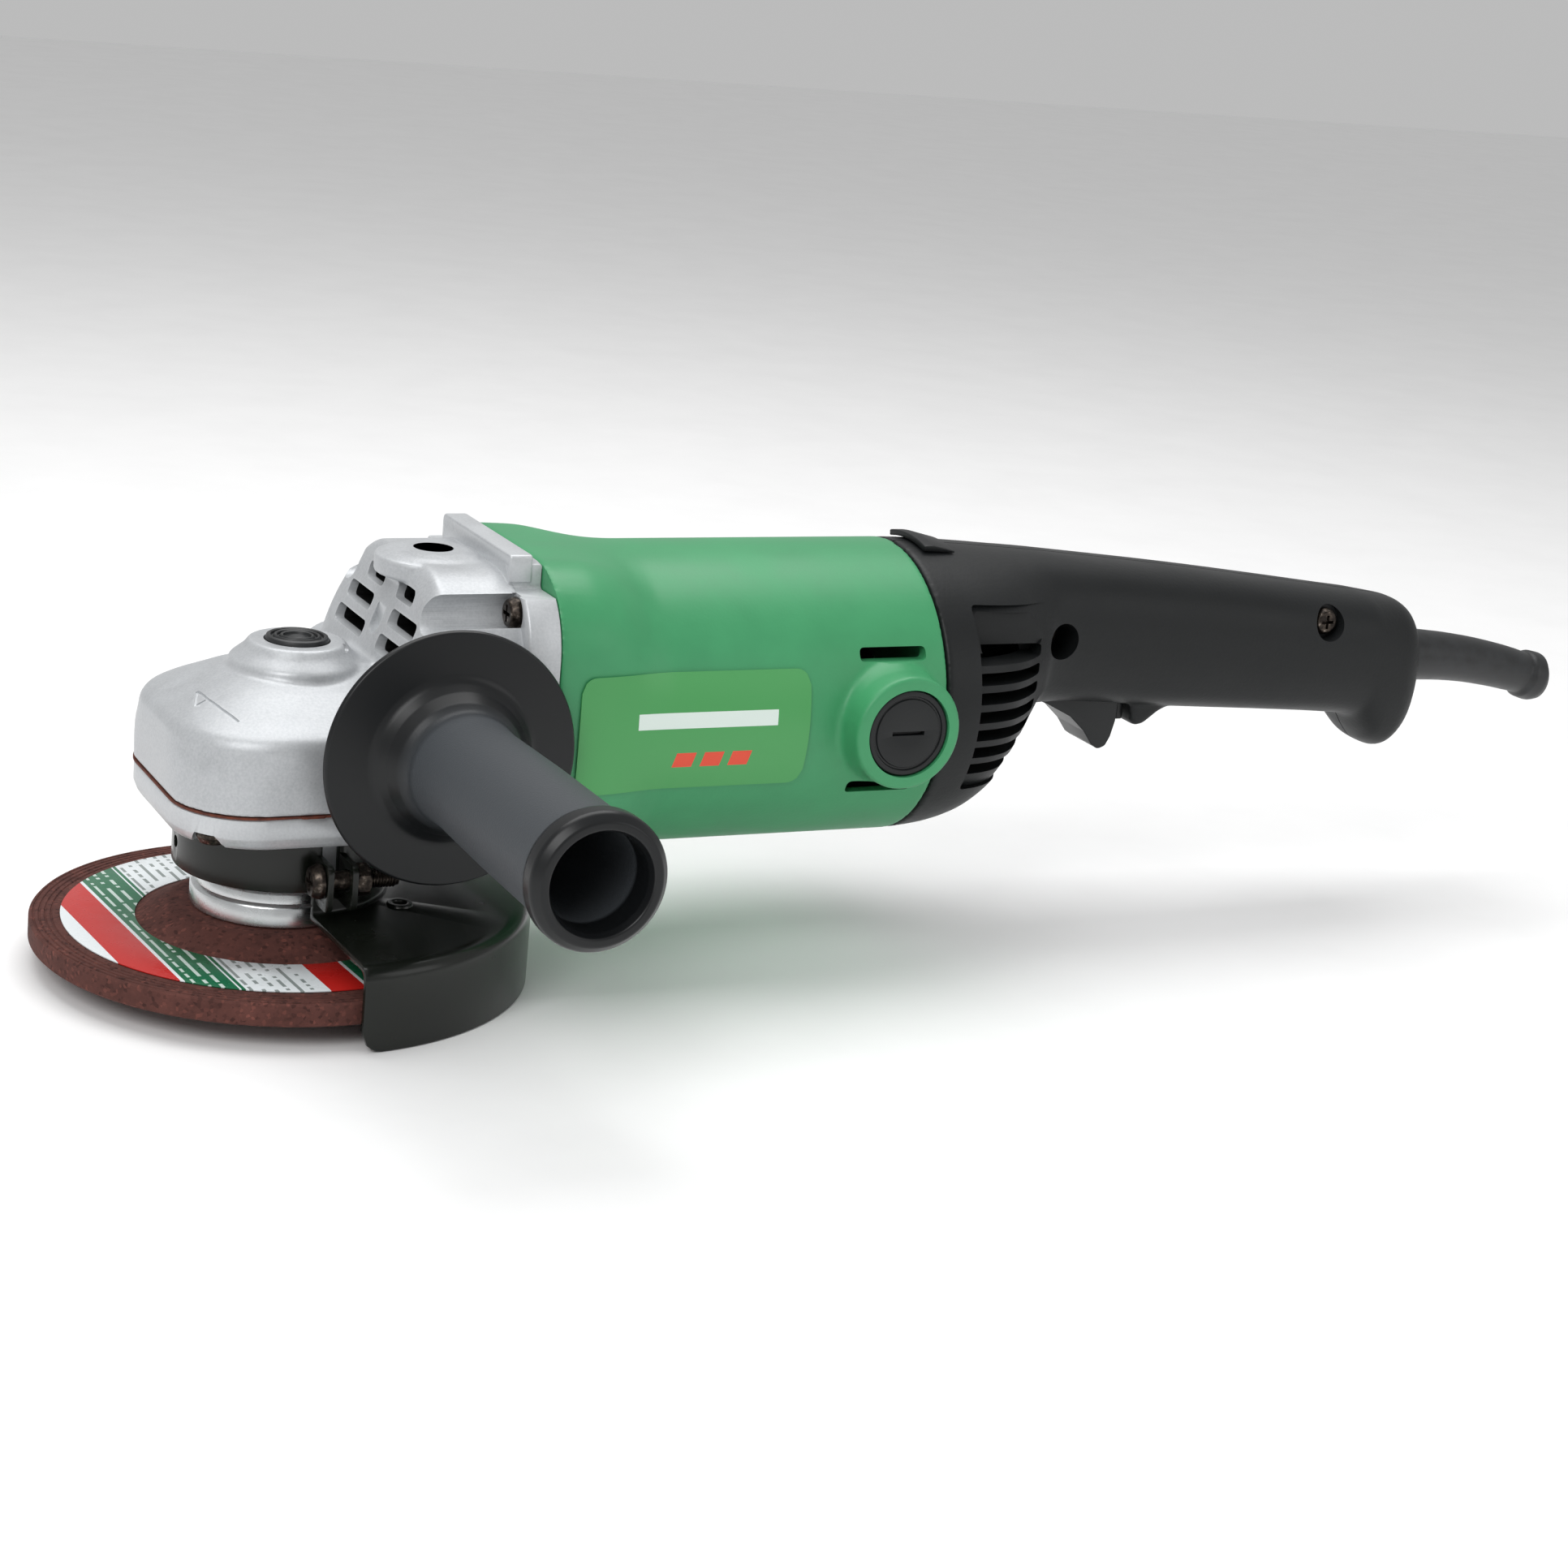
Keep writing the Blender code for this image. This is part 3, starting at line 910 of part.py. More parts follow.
def build_tail():
    shell = lofted("tail", BLACK, tail_rings(0.0, TAIL_X, 0.4))
    inside = tail_rings(TAIL_WALL, TAIL_X - 1 * MM, 336 * MM)
    end = [(TAIL_END_WALL_X, y, z) for x, y, z in inside[-1]]
    cut(shell, lofted("inside", BLACK, inside + [end]))
    lobe = [[(x * MM, y * MM, z * MM) for x, z in ((252.6, 58.5), (252.4, 51.6), (254.2, 50.2), (257.0, 51.0),
                                                   (261.5, 54.4), (268, 57.5))] for y in (-9.0, 9.0)]
    add(shell, lofted("lobe", BLACK, lobe))
    for name, x, z, depth in HANDLE_SCREWS:
        add(shell, rod("boss", BLACK, SCREW_BOSS_R, (x, -18.2 * MM, z), (x, 18.2 * MM, z), 20))
        drill(shell, SCREW_RECESS_R, (x, -30 * MM, z), (x, -depth, z), 20)
        drill(shell, 2.2 * MM + SEAT, (x, -depth - 1 * MM, z), (x, 12 * MM, z), 12)
        pan_screw(f"handle_screw_{name}", DARK_STEEL, (x, -depth - SEAT, z), (0, 1, 0), depth + 9 * MM,
                  2.2 * MM,
                  4.0 * MM, 2.6 * MM)
    slot(shell, (TRIGGER_SLOT_X[0], -TRIGGER_HALF - RUN, 50 * MM),
         (TRIGGER_SLOT_X[1] - 0.6 * MM, TRIGGER_HALF + RUN, 62 * MM))
    drill(shell, CORD_GUARD_HOLE_R, (TAIL_END_WALL_X - 3 * MM, 0, 67.6 * MM), (0.36, 0, 67.2 * MM), 20)
    for i in range(LOUVRES):
        z = MOTOR_Z + (i - (LOUVRES - 1) / 2) * LOUVRE_PITCH
        for side in (-1, 1):
            y0, y1 = sorted((side * 20 * MM, side * 45 * MM))
            slot(shell, (LOUVRE_X0, y0, z - LOUVRE_H / 2), (LOUVRE_X1, y1, z + LOUVRE_H / 2))
    for name, side in (("left", -1), ("right", 1)):
        half = shell.copy()
        half.data = shell.data.copy()
        half.name = f"rear_handle_{name}"
        bpy.context.collection.objects.link(half)
        y0, y1 = sorted((side * -0.1, side * SEAT / 2))
        slot(half, (0.1, y0, -0.1), (0.5, y1, 0.3))
    bpy.data.objects.remove(shell)


def build_trigger():
    outline = ((218.9, 64.0), (219.0, 59.6), (224.0, 57.6), (232.2, 53.6), (237.2, 49.2), (240.4, 45.0),
               (242.8, 43.5), (245.2, 44.4), (246.6, 47.2), (247.7, 52.0), (247.9, 64.0))
    rings = [[(x * MM, y, z * MM) for x, z in outline] for y in (-TRIGGER_HALF, TRIGGER_HALF)]
    lofted("trigger", BLACK, rings)
    block("lock_off_tab", BLACK, (249.3 * MM, -5 * MM, 51.6 * MM), (251.6 * MM, 5 * MM, 63.4 * MM))
    block("switch_body", CARBON, (226 * MM, -10 * MM, 68.2 * MM), (262 * MM, 10 * MM, 86 * MM))


def build_cord_guard():
    centre = ((340.4, 67.6, 10.6), (343.6, 67.5, 10.6), (343.6, 67.5, 8.1), (353, 67.4, 8.0),
              (364, 66.8, 7.6),
              (376, 65.5, 7.2), (388, 63.4, 6.9), (396, 61.6, 6.7), (401, 60.3, 6.5), (402, 60.0, 7.5),
              (405.6, 59.0, 7.7), (407.4, 58.5, 6.9))
    rings = []
    for i, (x, z, radius) in enumerate(centre):
        before, after = centre[max(i - 1, 0)], centre[min(i + 1, len(centre) - 1)]
        lean = math.atan2(after[1] - before[1], max(after[0] - before[0], 0.5))
        ring = []
        for k in range(CORD_STEPS):
            angle = 2 * math.pi * k / CORD_STEPS
            side, up = radius * MM * math.cos(angle), radius * MM * math.sin(angle)
            ring.append((x * MM - up * math.sin(lean), side, z * MM + up * math.cos(lean)))
        rings.append(ring)
    boot = lofted("cord_guard", RUBBER, rings)
    tip, root = Vector((408.6 * MM, 0, 58.2 * MM)), Vector((399.0 * MM, 0, 60.8 * MM))
    drill(boot, CORD_BORE_R, root, tip, 16)
    wedge = [(HOUSING_R + SEAT, TAB_X0), (HOUSING_R + TAB_RISE, TAB_X0),
             (HOUSING_R + TAB_RISE, TAB_X0 + 3 * MM),
             (HOUSING_R + SEAT - 0.1 * MM, TAB_X1), (HOUSING_R - SEAT, TAB_X1)]
    swept("top_tab", BLACK, wedge, -TAB_HALF_ANGLE, TAB_HALF_ANGLE, 6, (1, 0, 0), (0, 0, MOTOR_Z), 180.0)


def set_origin(point, *names):
    """Put the origins of moving pieces on the axis that they turn about."""
    for name in names:
        obj = bpy.data.objects[name]
        obj.data.transform(Matrix.Translation(-Vector(point)))
        obj.location = point


def main():
    for obj in list(bpy.data.objects):
        bpy.data.objects.remove(obj)
    build_wheel()
    build_spindle()
    nut_top = build_gears()
    base = build_bearing_cover()
    build_gear_head(base)
    build_spindle_lock(nut_top)
    build_housing()
    build_armature()
    build_stator()
    build_brushes()
    build_guard()
    build_side_handle()
    build_tail()
    build_trigger()
    build_cord_guard()
    set_origin((0, 0, MOTOR_Z), "armature_core", "armature_shaft", "armature_winding_front",
               "armature_winding_rear", "commutator", "cooling_fan", "pinion")
    set_origin((TRIGGER_PIVOT[0], 0, TRIGGER_PIVOT[1]), "trigger")


main()
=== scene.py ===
"""Looks of the angle grinder: castings, mouldings, wheel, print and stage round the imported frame."""
import math

import bmesh
import bpy
from bpy.props import FloatProperty, FloatVectorProperty, IntProperty, PointerProperty, StringProperty
from mathutils import Matrix, Vector
from mathutils.bvhtree import BVHTree


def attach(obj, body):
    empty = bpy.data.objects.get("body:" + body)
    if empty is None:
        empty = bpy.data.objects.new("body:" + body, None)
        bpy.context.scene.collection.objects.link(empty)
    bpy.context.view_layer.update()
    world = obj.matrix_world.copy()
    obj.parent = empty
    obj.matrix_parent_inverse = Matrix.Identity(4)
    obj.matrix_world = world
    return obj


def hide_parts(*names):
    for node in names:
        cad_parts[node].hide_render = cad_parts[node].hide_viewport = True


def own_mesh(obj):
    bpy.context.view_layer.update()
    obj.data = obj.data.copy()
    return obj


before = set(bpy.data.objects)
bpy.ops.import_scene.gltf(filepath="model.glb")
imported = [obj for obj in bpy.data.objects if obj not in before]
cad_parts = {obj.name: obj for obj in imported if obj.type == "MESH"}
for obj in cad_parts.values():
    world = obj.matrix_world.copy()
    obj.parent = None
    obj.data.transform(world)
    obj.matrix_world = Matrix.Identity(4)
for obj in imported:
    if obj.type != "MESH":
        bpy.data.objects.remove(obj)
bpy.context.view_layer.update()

bl_info = {
    "name": "Angle grinder looks",
    "version": (1, 0, 0),
    "blender": (4, 5, 0),
    "location": "View3D > Sidebar > Grinder",
    "description": "Detailed outer pieces and finishes for an angle grinder on a packed frame",
    "category": "Object",
}

MM = 0.001
MOTOR_Z = 63.8            # height of the motor's axis, mm, like every bare length below
MOTOR_LINE = ((1, 0, 0), (0, 0, MOTOR_Z))
SHARP = math.radians(38)
WHEEL_R = 62.5
PIN_X = 1.9               # lock pin, its spring and button
SOCKET = (27.7, 61.0)     # x and z of the side handle's sockets
CAP_X = 154.9             # brush bosses, caps and their slots
FLANGE_HALF, FLANGE_CORNER = 41.3, 22     # rounded square where gear head and housing meet
BARREL_R = 40.7


# ---- settings ---------------------------------------------------------------
def colour(name, description, value):
    """Setting for one colour, as an sRGB hex string."""
    return StringProperty(name=name, description=description, default=value)


class GrinderFinishes(bpy.types.PropertyGroup):
    """Colours of the tool's finishes."""

    casting: colour("Casting", "Silver paint on the gear head", "#B3B6B9")
    nylon: colour("Green nylon", "Motor housing", "#3F9663")
    plate: colour("Plate", "Ground of the side plate", "#479A55")
    black: colour("Black nylon", "Rear handle, trigger and caps", "#17191A")
    grip: colour("Side grip", "Side handle", "#1C1E20")
    enamel: colour("Enamel", "Guard", "#10130F")
    abrasive: colour("Abrasive", "Grinding wheel", "#59352F")
    print_green: colour("Print green", "Green band on the wheel's label", "#1B6A47")
    print_red: colour("Print red", "Red band on the wheel's label", "#C2241F")


class GrinderShapes(bpy.types.PropertyGroup):
    """Sizes that steer how fine and how soft the outer pieces are."""

    cast_voxel: FloatProperty(name="Casting voxel", description="Grid that fuses a casting's solids, mm",
                              default=0.62, min=0.3, max=2.0)
    mould_voxel: FloatProperty(name="Moulding voxel", description="Grid that fuses a moulding's solids, mm",
                               default=0.72, min=0.3, max=2.0)
    cast_rounding: IntProperty(name="Casting rounding", description="Smoothing passes over a casting's edges",
                               default=5, min=0, max=40)
    turn_steps: IntProperty(name="Turned steps", description="Facets round a turned piece", default=112,
                            min=24, max=256)
    rim_grooves: IntProperty(name="Rim grooves", description="Moulded rings near the wheel's rim", default=4,
                             min=0, max=6)


class GrinderStage(bpy.types.PropertyGroup):
    """Floor, lights and camera."""

    key_power: FloatProperty(name="Key light", description="Large soft light in front, left and above",
                             default=7.6, min=0, unit="POWER")
    fill_power: FloatProperty(name="Fill light", description="Soft light from the right", default=1.2, min=0,
                              unit="POWER")
    top_power: FloatProperty(name="Top light", description="Overhead soft light", default=7.6, min=0,
                             unit="POWER")
    world_strength: FloatProperty(name="World", description="Brightness of the white surroundings", default=0.5,
                                  min=0)
    camera_place: FloatVectorProperty(name="Camera", description="Camera position", subtype="TRANSLATION",
                                      unit="LENGTH", default=(-0.24466, -0.73447, 0.28175))
    camera_turn: FloatVectorProperty(name="Camera turn", description="Azimuth, elevation and roll",
                                     subtype="EULER", unit="ROTATION", default=(-0.4883, 0.2885, 0.1021))
    focal_length: FloatProperty(name="Lens", description="Focal length, mm", default=71.4, min=20)


# ---- mesh code --------------------------------------------------------------
def make_piece(name, bm):
    """Object from a bmesh drawn in millimetres, smooth except along sharp edges."""
    bmesh.ops.recalc_face_normals(bm, faces=bm.faces)
    bmesh.ops.scale(bm, vec=(MM, MM, MM), verts=bm.verts)
    mesh = bpy.data.meshes.new(name)
    bm.to_mesh(mesh)
    bm.free()
    mesh.shade_smooth()
    mesh.set_sharp_from_angle(angle=SHARP)
    obj = bpy.data.objects.new(name, mesh)
    bpy.context.scene.collection.objects.link(obj)
    return obj


def rounded(points, radius, arc=4, closed=True):
    """Outline in a plane with its corners turned into arcs; radius is one number or one for each point."""
    count = len(points)
    radii = radius if hasattr(radius, "__len__") else [radius] * count
    out = []
    for i, point in enumerate(points):
        here = Vector(point)
        if radii[i] == 0 or (not closed and i in (0, count - 1)):
            out.append(tuple(here))
            continue
        back, ahead = Vector(points[i - 1]) - here, Vector(points[(i + 1) % count]) - here
        turn = back.angle(ahead, math.pi)
        if turn > math.radians(176):
            out.append(tuple(here))
            continue
        reach = min(radii[i] / math.tan(turn / 2), back.length * 0.48, ahead.length * 0.48)
        start, stop = here + back.normalized() * reach, here + ahead.normalized() * reach
        for k in range(arc + 1):
            t = k / arc
            out.append(tuple(start * (1 - t) ** 2 + here * 2 * t * (1 - t) + stop * t ** 2))
    return out


def skin(bm, rings, closed_ends=True, ring_to_ring=False):
    """Quads between rings of points, with caps or a join from the last ring to the first."""
    made = [[bm.verts.new(p) for p in ring] for ring in rings]
    pairs = list(zip(made, made[1:]))
    if ring_to_ring:
        pairs.append((made[-1], made[0]))
    for low, high in pairs:
        for i in range(len(low)):
            j = (i + 1) % len(low)
            bm.faces.new((low[i], low[j], high[j], high[i]))
    if closed_ends and not ring_to_ring:
        bm.faces.new(made[0])
        bm.faces.new(made[-1])


def loft(name, rings):
    """Closed solid through a row of rings."""
    bm = bmesh.new()
    skin(bm, rings)
    return make_piece(name, bm)


def frame_of(axis, origin):
    """Matrix that stands +Z on an axis, at an origin."""
    turn = Vector((0, 0, 1)).rotation_difference(Vector(axis)).to_matrix().to_4x4()
    return Matrix.Translation(Vector(origin)) @ turn


def turned(name, outline, axis=(0, 0, 1), origin=(0, 0, 0), steps=None):
    """Solid of revolution from a closed (radius, height) outline; points on the axis close it."""
    steps = steps or bpy.context.scene.grinder_shapes.turn_steps
    bm = bmesh.new()
    rings = []
    for i in range(steps):
        a = 2 * math.pi * i / steps
        rings.append([bm.verts.new((max(r, 0) * math.cos(a), max(r, 0) * math.sin(a), h)) for r, h in outline])
    for i, ring in enumerate(rings):
        after = rings[(i + 1) % steps]
        for k in range(len(outline)):
            m = (k + 1) % len(outline)
            if outline[k][0] <= 0 and outline[m][0] <= 0:
                continue
            bm.faces.new((ring[k], after[k], after[m], ring[m]))
    bmesh.ops.remove_doubles(bm, verts=bm.verts, dist=0.0005)
    bm.transform(frame_of(axis, origin))
    return make_piece(name, bm)


def rod(name, radius, start, stop, steps=48, chamfer=0.0):
    """Round bar between two points, with a chamfer at both ends if asked."""
    start, stop = Vector(start), Vector(stop)
    length = (stop - start).length
    outline = [(0, 0), (radius - chamfer, 0), (radius, chamfer), (radius, length - chamfer),
               (radius - chamfer, length), (0, length)]
    if not chamfer:
        outline = [(0, 0), (radius, 0), (radius, length), (0, length)]
    return turned(name, outline, (stop - start).normalized(), start, steps)


def prism(name, outline, low, high, plane="xz"):
    """Outline drawn in a plane and pushed straight through between two levels."""
    place = {"xz": lambda a, b, c: (a, c, b), "xy": lambda a, b, c: (a, b, c),
             "yz": lambda a, b, c: (c, a, b)}[plane]
    return loft(name, [[place(a, b, level) for a, b in outline] for level in (low, high)])


def box(name, low, high):
    """Block between its lowest and highest corners."""
    return prism(name, [(low[0], low[1]), (high[0], low[1]), (high[0], high[1]), (low[0], high[1])],
                 low[2], high[2], "xy")


def slot_outline(a, b, half_a, half_b, radius, arc=6):
    """Rectangle about a centre with round corners."""
    corners = [(a - half_a, b - half_b), (a + half_a, b - half_b), (a + half_a, b + half_b),
               (a - half_a, b + half_b)]
    return rounded(corners, radius, arc)


def soften(obj, width, segments=3, angle=30):
    """Round the sharp edges by a width in millimetres."""
    bevel = obj.modifiers.new("soften", "BEVEL")
    bevel.width = width * MM
    bevel.segments = segments
    bevel.limit_method = "ANGLE"
    bevel.angle_limit = math.radians(angle)
    return settle(obj)


def settle(obj):
    """Apply every modifier to the object's own mesh."""
    graph = bpy.context.evaluated_depsgraph_get()
    mesh = bpy.data.meshes.new_from_object(obj.evaluated_get(graph))
    old = obj.data
    obj.modifiers.clear()
    obj.data = mesh
    bpy.data.meshes.remove(old)
    mesh.name = obj.name
    mesh.shade_smooth()
    mesh.set_sharp_from_angle(angle=SHARP)
    return obj


def drop(obj):
    """Remove an object and its mesh."""
    mesh = obj.data
    bpy.data.objects.remove(obj)
    bpy.data.meshes.remove(mesh)


def shape(base, other, operation):
    """Boolean with another closed solid, which is used up."""
    modifier = base.modifiers.new("shape", "BOOLEAN")
    modifier.operation = operation
    modifier.solver = "MANIFOLD"
    modifier.object = other
    settle(base)
    drop(other)
    if not base.data.polygons:
        raise RuntimeError(f"{base.name} vanished in a boolean")
    return base


def carve(base, *others):
    """Cut closed solids out of a piece, one after the other."""
    for other in others:
        shape(base, other, "DIFFERENCE")
    return base


def fuse(name, solids, voxel, passes):
    """One skin round several solids, with the soft inside and outside corners of a casting."""
    bm = bmesh.new()
    for solid in solids:
        bm.from_mesh(solid.data)
        drop(solid)
    mesh = bpy.data.meshes.new(name)
    bm.to_mesh(mesh)
    bm.free()
    obj = bpy.data.objects.new(name, mesh)
    bpy.context.scene.collection.objects.link(obj)
    remesh = obj.modifiers.new("fuse", "REMESH")
    remesh.mode = "VOXEL"
    remesh.voxel_size = voxel * MM
    smooth = obj.modifiers.new("round", "SMOOTH")
    smooth.factor = 0.5
    smooth.iterations = passes
    return settle(obj)


def between(values, x):
    """Smooth value at x from a table of (x, a, b, ...) rows."""
    if x <= values[0][0]:
        return values[0][1:]
    for i in range(len(values) - 1):
        x0, x1 = values[i][0], values[i + 1][0]
        if x <= x1:
            t = (x - x0) / (x1 - x0)
            before, after = values[max(i - 1, 0)], values[min(i + 2, len(values) - 1)]
            out = []
            for k in range(1, len(values[i])):
                a, b = values[i][k], values[i + 1][k]
                slope_a = limited_slope(before, values[i], values[i + 1], k) * (x1 - x0)
                slope_b = limited_slope(values[i], values[i + 1], after, k) * (x1 - x0)
                out.append(a * (2 * t ** 3 - 3 * t ** 2 + 1) + slope_a * (t ** 3 - 2 * t ** 2 + t)
                           + b * (3 * t ** 2 - 2 * t ** 3) + slope_b * (t ** 3 - t ** 2))
            return out
    return values[-1][1:]


def limited_slope(before, here, after, k):
    """Slope at a table row that never overshoots its neighbours."""
    left = (here[k] - before[k]) / (here[0] - before[0]) if here[0] != before[0] else None
    right = (after[k] - here[k]) / (after[0] - here[0]) if after[0] != here[0] else None
    if left is None or right is None:
        return left if right is None else right
    return 0.0 if left * right <= 0 else 2 * left * right / (left + right)


def stations(first, last, step):
    """Even positions from first to last, about a step apart."""
    count = max(int(round((last - first) / step)), 1)
    return [first + (last - first) * i / count for i in range(count + 1)]


def fit(obj, body, look, nodes=()):
    """Give a piece its finish, set it on its body and hide the parts it stands for."""
    obj.data.materials.clear()
    obj.data.materials.append(look)
    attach(obj, body)
    if nodes:
        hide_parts(*nodes)
    return obj


# ---- material code ----------------------------------------------------------
def linear(hexa, alpha=1.0):
    """sRGB hex to the linear colour that shaders use."""
    channels = [int(hexa[i:i + 2], 16) / 255 for i in (1, 3, 5)]
    return [c / 12.92 if c <= 0.04045 else ((c + 0.055) / 1.055) ** 2.4 for c in channels] + [alpha]


def add_node(tree, kind, inputs=None, **settings):
    """Add a node with its settings, and set or link its inputs."""
    made = tree.nodes.new(kind)
    for key, value in settings.items():
        setattr(made, key, value)
    for key, value in (inputs or {}).items():
        if isinstance(value, bpy.types.NodeSocket):
            tree.links.new(value, made.inputs[key])
        else:
            made.inputs[key].default_value = value
    return made


def new_finish(name):
    """Empty material, its tree, its Principled shader and the object coordinates."""
    look = bpy.data.materials.new(name)
    look.use_nodes = True
    tree = look.node_tree
    place = add_node(tree, "ShaderNodeTexCoord").outputs["Object"]
    return look, tree, tree.nodes["Principled BSDF"], place


def ramp(tree, factor, stops, mode="LINEAR"):
    """Colour ramp from (position, colour) stops."""
    made = add_node(tree, "ShaderNodeValToRGB", {"Fac": factor})
    made.color_ramp.interpolation = mode
    keys = made.color_ramp.elements
    while len(keys) < len(stops):
        keys.new(0.5)
    for key, (position, value) in zip(keys, stops):
        key.position = position
        key.color = value
    return made.outputs["Color"]


def grain(tree, place, size, detail=3.0):
    """Noise whose blotches are about size millimetres across."""
    return add_node(tree, "ShaderNodeTexNoise",
                    {"Vector": place, "Scale": 1000 / size, "Detail": detail, "Roughness": 0.6})


def spread(tree, factor, low, high):
    """Numbers from low to high where a noise goes from dark to light."""
    return add_node(tree, "ShaderNodeMapRange", {"Value": factor, "From Min": 0.3, "From Max": 0.7,
                                                 "To Min": low, "To Max": high}).outputs["Result"]


def relief(tree, shader, height, depth, strength=1.0):
    """Bump of a real depth in millimetres on a shader."""
    bump = add_node(tree, "ShaderNodeBump", {"Height": height, "Distance": depth * MM, "Strength": strength})
    tree.links.new(bump.outputs["Normal"], shader.inputs["Normal"])


def blend_colour(tree, factor, first, second):
    """First colour where the factor is 0, second where it is 1."""
    mix = add_node(tree, "ShaderNodeMix", {"Factor": factor, "A": first, "B": second}, data_type="RGBA")
    return mix.outputs["Result"]


# ---- finishes ---------------------------------------------------------------
def painted_vent_shade(tree, place):
    """1 behind the leaning front of the fan housing, inside the bare air slots, where a near-black painted shade
    stands in for their shadow, else 0.
    """
    axes = add_node(tree, "ShaderNodeSeparateXYZ", {"Vector": place})
    depth = add_node(tree, "ShaderNodeMath", {0: axes.outputs["Z"], 1: -0.33, 2: axes.outputs["X"]},
                     operation="MULTIPLY_ADD").outputs["Value"]
    total = add_node(tree, "ShaderNodeMath", {0: depth, 1: -2.6 * MM}, operation="GREATER_THAN").outputs["Value"]
    zones = []
    for half, middle, reach in ((24.4, 87.2, 10.3), (28.3, 82.5, 5.7)):
        side = add_node(tree, "ShaderNodeMath", {0: axes.outputs["Y"], 1: 0.0, 2: half * MM}, operation="COMPARE")
        level = add_node(tree, "ShaderNodeMath", {0: axes.outputs["Z"], 1: middle * MM, 2: reach * MM},
                         operation="COMPARE")
        zones.append(add_node(tree, "ShaderNodeMath", {0: side.outputs[0], 1: level.outputs[0]},
                              operation="MULTIPLY").outputs["Value"])
    zone = add_node(tree, "ShaderNodeMath", {0: zones[0], 1: zones[1]}, operation="MAXIMUM").outputs["Value"]
    return add_node(tree, "ShaderNodeMath", {0: total, 1: zone}, operation="MULTIPLY").outputs["Value"]


def silver_paint():
    """Die-cast aluminium, silver painted: faint sparkle and orange peel, edges rubbed brighter, and a near-black
    painted shade inside the air vents.
    """
    look, tree, shader, place = new_finish("die_cast_aluminium_silver_paint")
    base = linear(bpy.context.scene.grinder_finishes.casting)
    mottle = grain(tree, place, 9.0).outputs["Fac"]
    body = blend_colour(tree, spread(tree, mottle, 0.0, 1.0), [c * 0.9 for c in base[:3]] + [1], base)
    fleck = grain(tree, place, 0.7, 1.0).outputs["Fac"]
    flecked = blend_colour(tree, spread(tree, fleck, 0.0, 0.12), body, linear("#FFFFFF"))
    edge = ramp(tree, add_node(tree, "ShaderNodeNewGeometry").outputs["Pointiness"],
                [(0.44, (0.5, 0.5, 0.5, 1)), (0.5, (0, 0, 0, 1)), (0.58, (0.45, 0.45, 0.45, 1))])
    worn = blend_colour(tree, edge, flecked, linear("#DDE0E2"))
    # painted shade: near-black colour inside the air vents, standing in for the shadow there
    vent_shaded = blend_colour(tree, painted_vent_shade(tree, place), worn, linear("#0E0E0E"))
    tree.links.new(vent_shaded, shader.inputs["Base Color"])
    tree.links.new(spread(tree, mottle, 0.34, 0.46), shader.inputs["Roughness"])
    shader.inputs["Metallic"].default_value = 0.28
    peel = grain(tree, place, 1.4, 2.0).outputs["Fac"]
    relief(tree, shader, peel, 0.05, 0.5)
    return look


def moulded_nylon(name, hexa, rough, texture, depth, shine=0.4):
    """Glass-filled nylon, injection moulded: fine spark-eroded grain with patches a little glossier."""
    look, tree, shader, place = new_finish(name)
    base = linear(hexa)
    patch = grain(tree, place, 22.0).outputs["Fac"]
    tone = blend_colour(tree, spread(tree, patch, 0.0, 1.0), [c * 0.88 for c in base[:3]] + [1], base)
    tree.links.new(tone, shader.inputs["Base Color"])
    tree.links.new(spread(tree, patch, rough - 0.05, rough + 0.05), shader.inputs["Roughness"])
    shader.inputs["IOR"].default_value = 1.53
    shader.inputs["Specular IOR Level"].default_value = shine
    leather = add_node(tree, "ShaderNodeTexVoronoi", {"Vector": place, "Scale": 1000 / texture},
                       feature="SMOOTH_F1").outputs["Distance"]
    relief(tree, shader, leather, depth, 0.6)
    return look


def green_nylon():
    """Green motor housing, satin with a fine grain."""
    return moulded_nylon("green_nylon_moulded", bpy.context.scene.grinder_finishes.nylon, 0.4, 0.8, 0.03)


def black_nylon():
    """Black handle shells, satin."""
    return moulded_nylon("black_nylon_moulded", bpy.context.scene.grinder_finishes.black, 0.45, 0.9, 0.05, 0.26)


def black_polished():
    """Black caps and tabs from a smooth mould, glossier than the shells."""
    return moulded_nylon("black_nylon_smooth", bpy.context.scene.grinder_finishes.black, 0.33, 1.1, 0.02, 0.3)


def grip_nylon():
    """Side grip: eroded grey-black tube between a smooth flange and a smooth end bead."""
    look, tree, shader, place = new_finish("black_nylon_eroded_grip")
    base = linear(bpy.context.scene.grinder_finishes.grip)
    side = add_node(tree, "ShaderNodeSeparateXYZ", {"Vector": place}).outputs["Y"]
    far = add_node(tree, "ShaderNodeMapRange", {"Value": side, "From Min": -0.1340, "From Max": -0.1325,
                                                "To Min": 0.0, "To Max": 1.0}).outputs["Result"]
    near = add_node(tree, "ShaderNodeMapRange", {"Value": side, "From Min": -0.0585, "From Max": -0.0530,
                                                 "To Min": 1.0, "To Max": 0.0}).outputs["Result"]
    tube = add_node(tree, "ShaderNodeMath", {0: far, 1: near}, operation="MULTIPLY").outputs["Value"]
    tone = blend_colour(tree, tube, [c * 0.55 for c in base[:3]] + [1], [min(c * 4.5, 1) for c in base[:3]] + [1])
    tree.links.new(tone, shader.inputs["Base Color"])
    shader.inputs["Specular IOR Level"].default_value = 0.3
    rough = add_node(tree, "ShaderNodeMapRange", {"Value": tube, "To Min": 0.33, "To Max": 0.52})
    tree.links.new(rough.outputs["Result"], shader.inputs["Roughness"])
    shader.inputs["IOR"].default_value = 1.53
    fine = grain(tree, place, 0.6, 2.0).outputs["Fac"]
    height = add_node(tree, "ShaderNodeMath", {0: fine, 1: tube}, operation="MULTIPLY").outputs["Value"]
    relief(tree, shader, height, 0.12, 0.7)
    return look


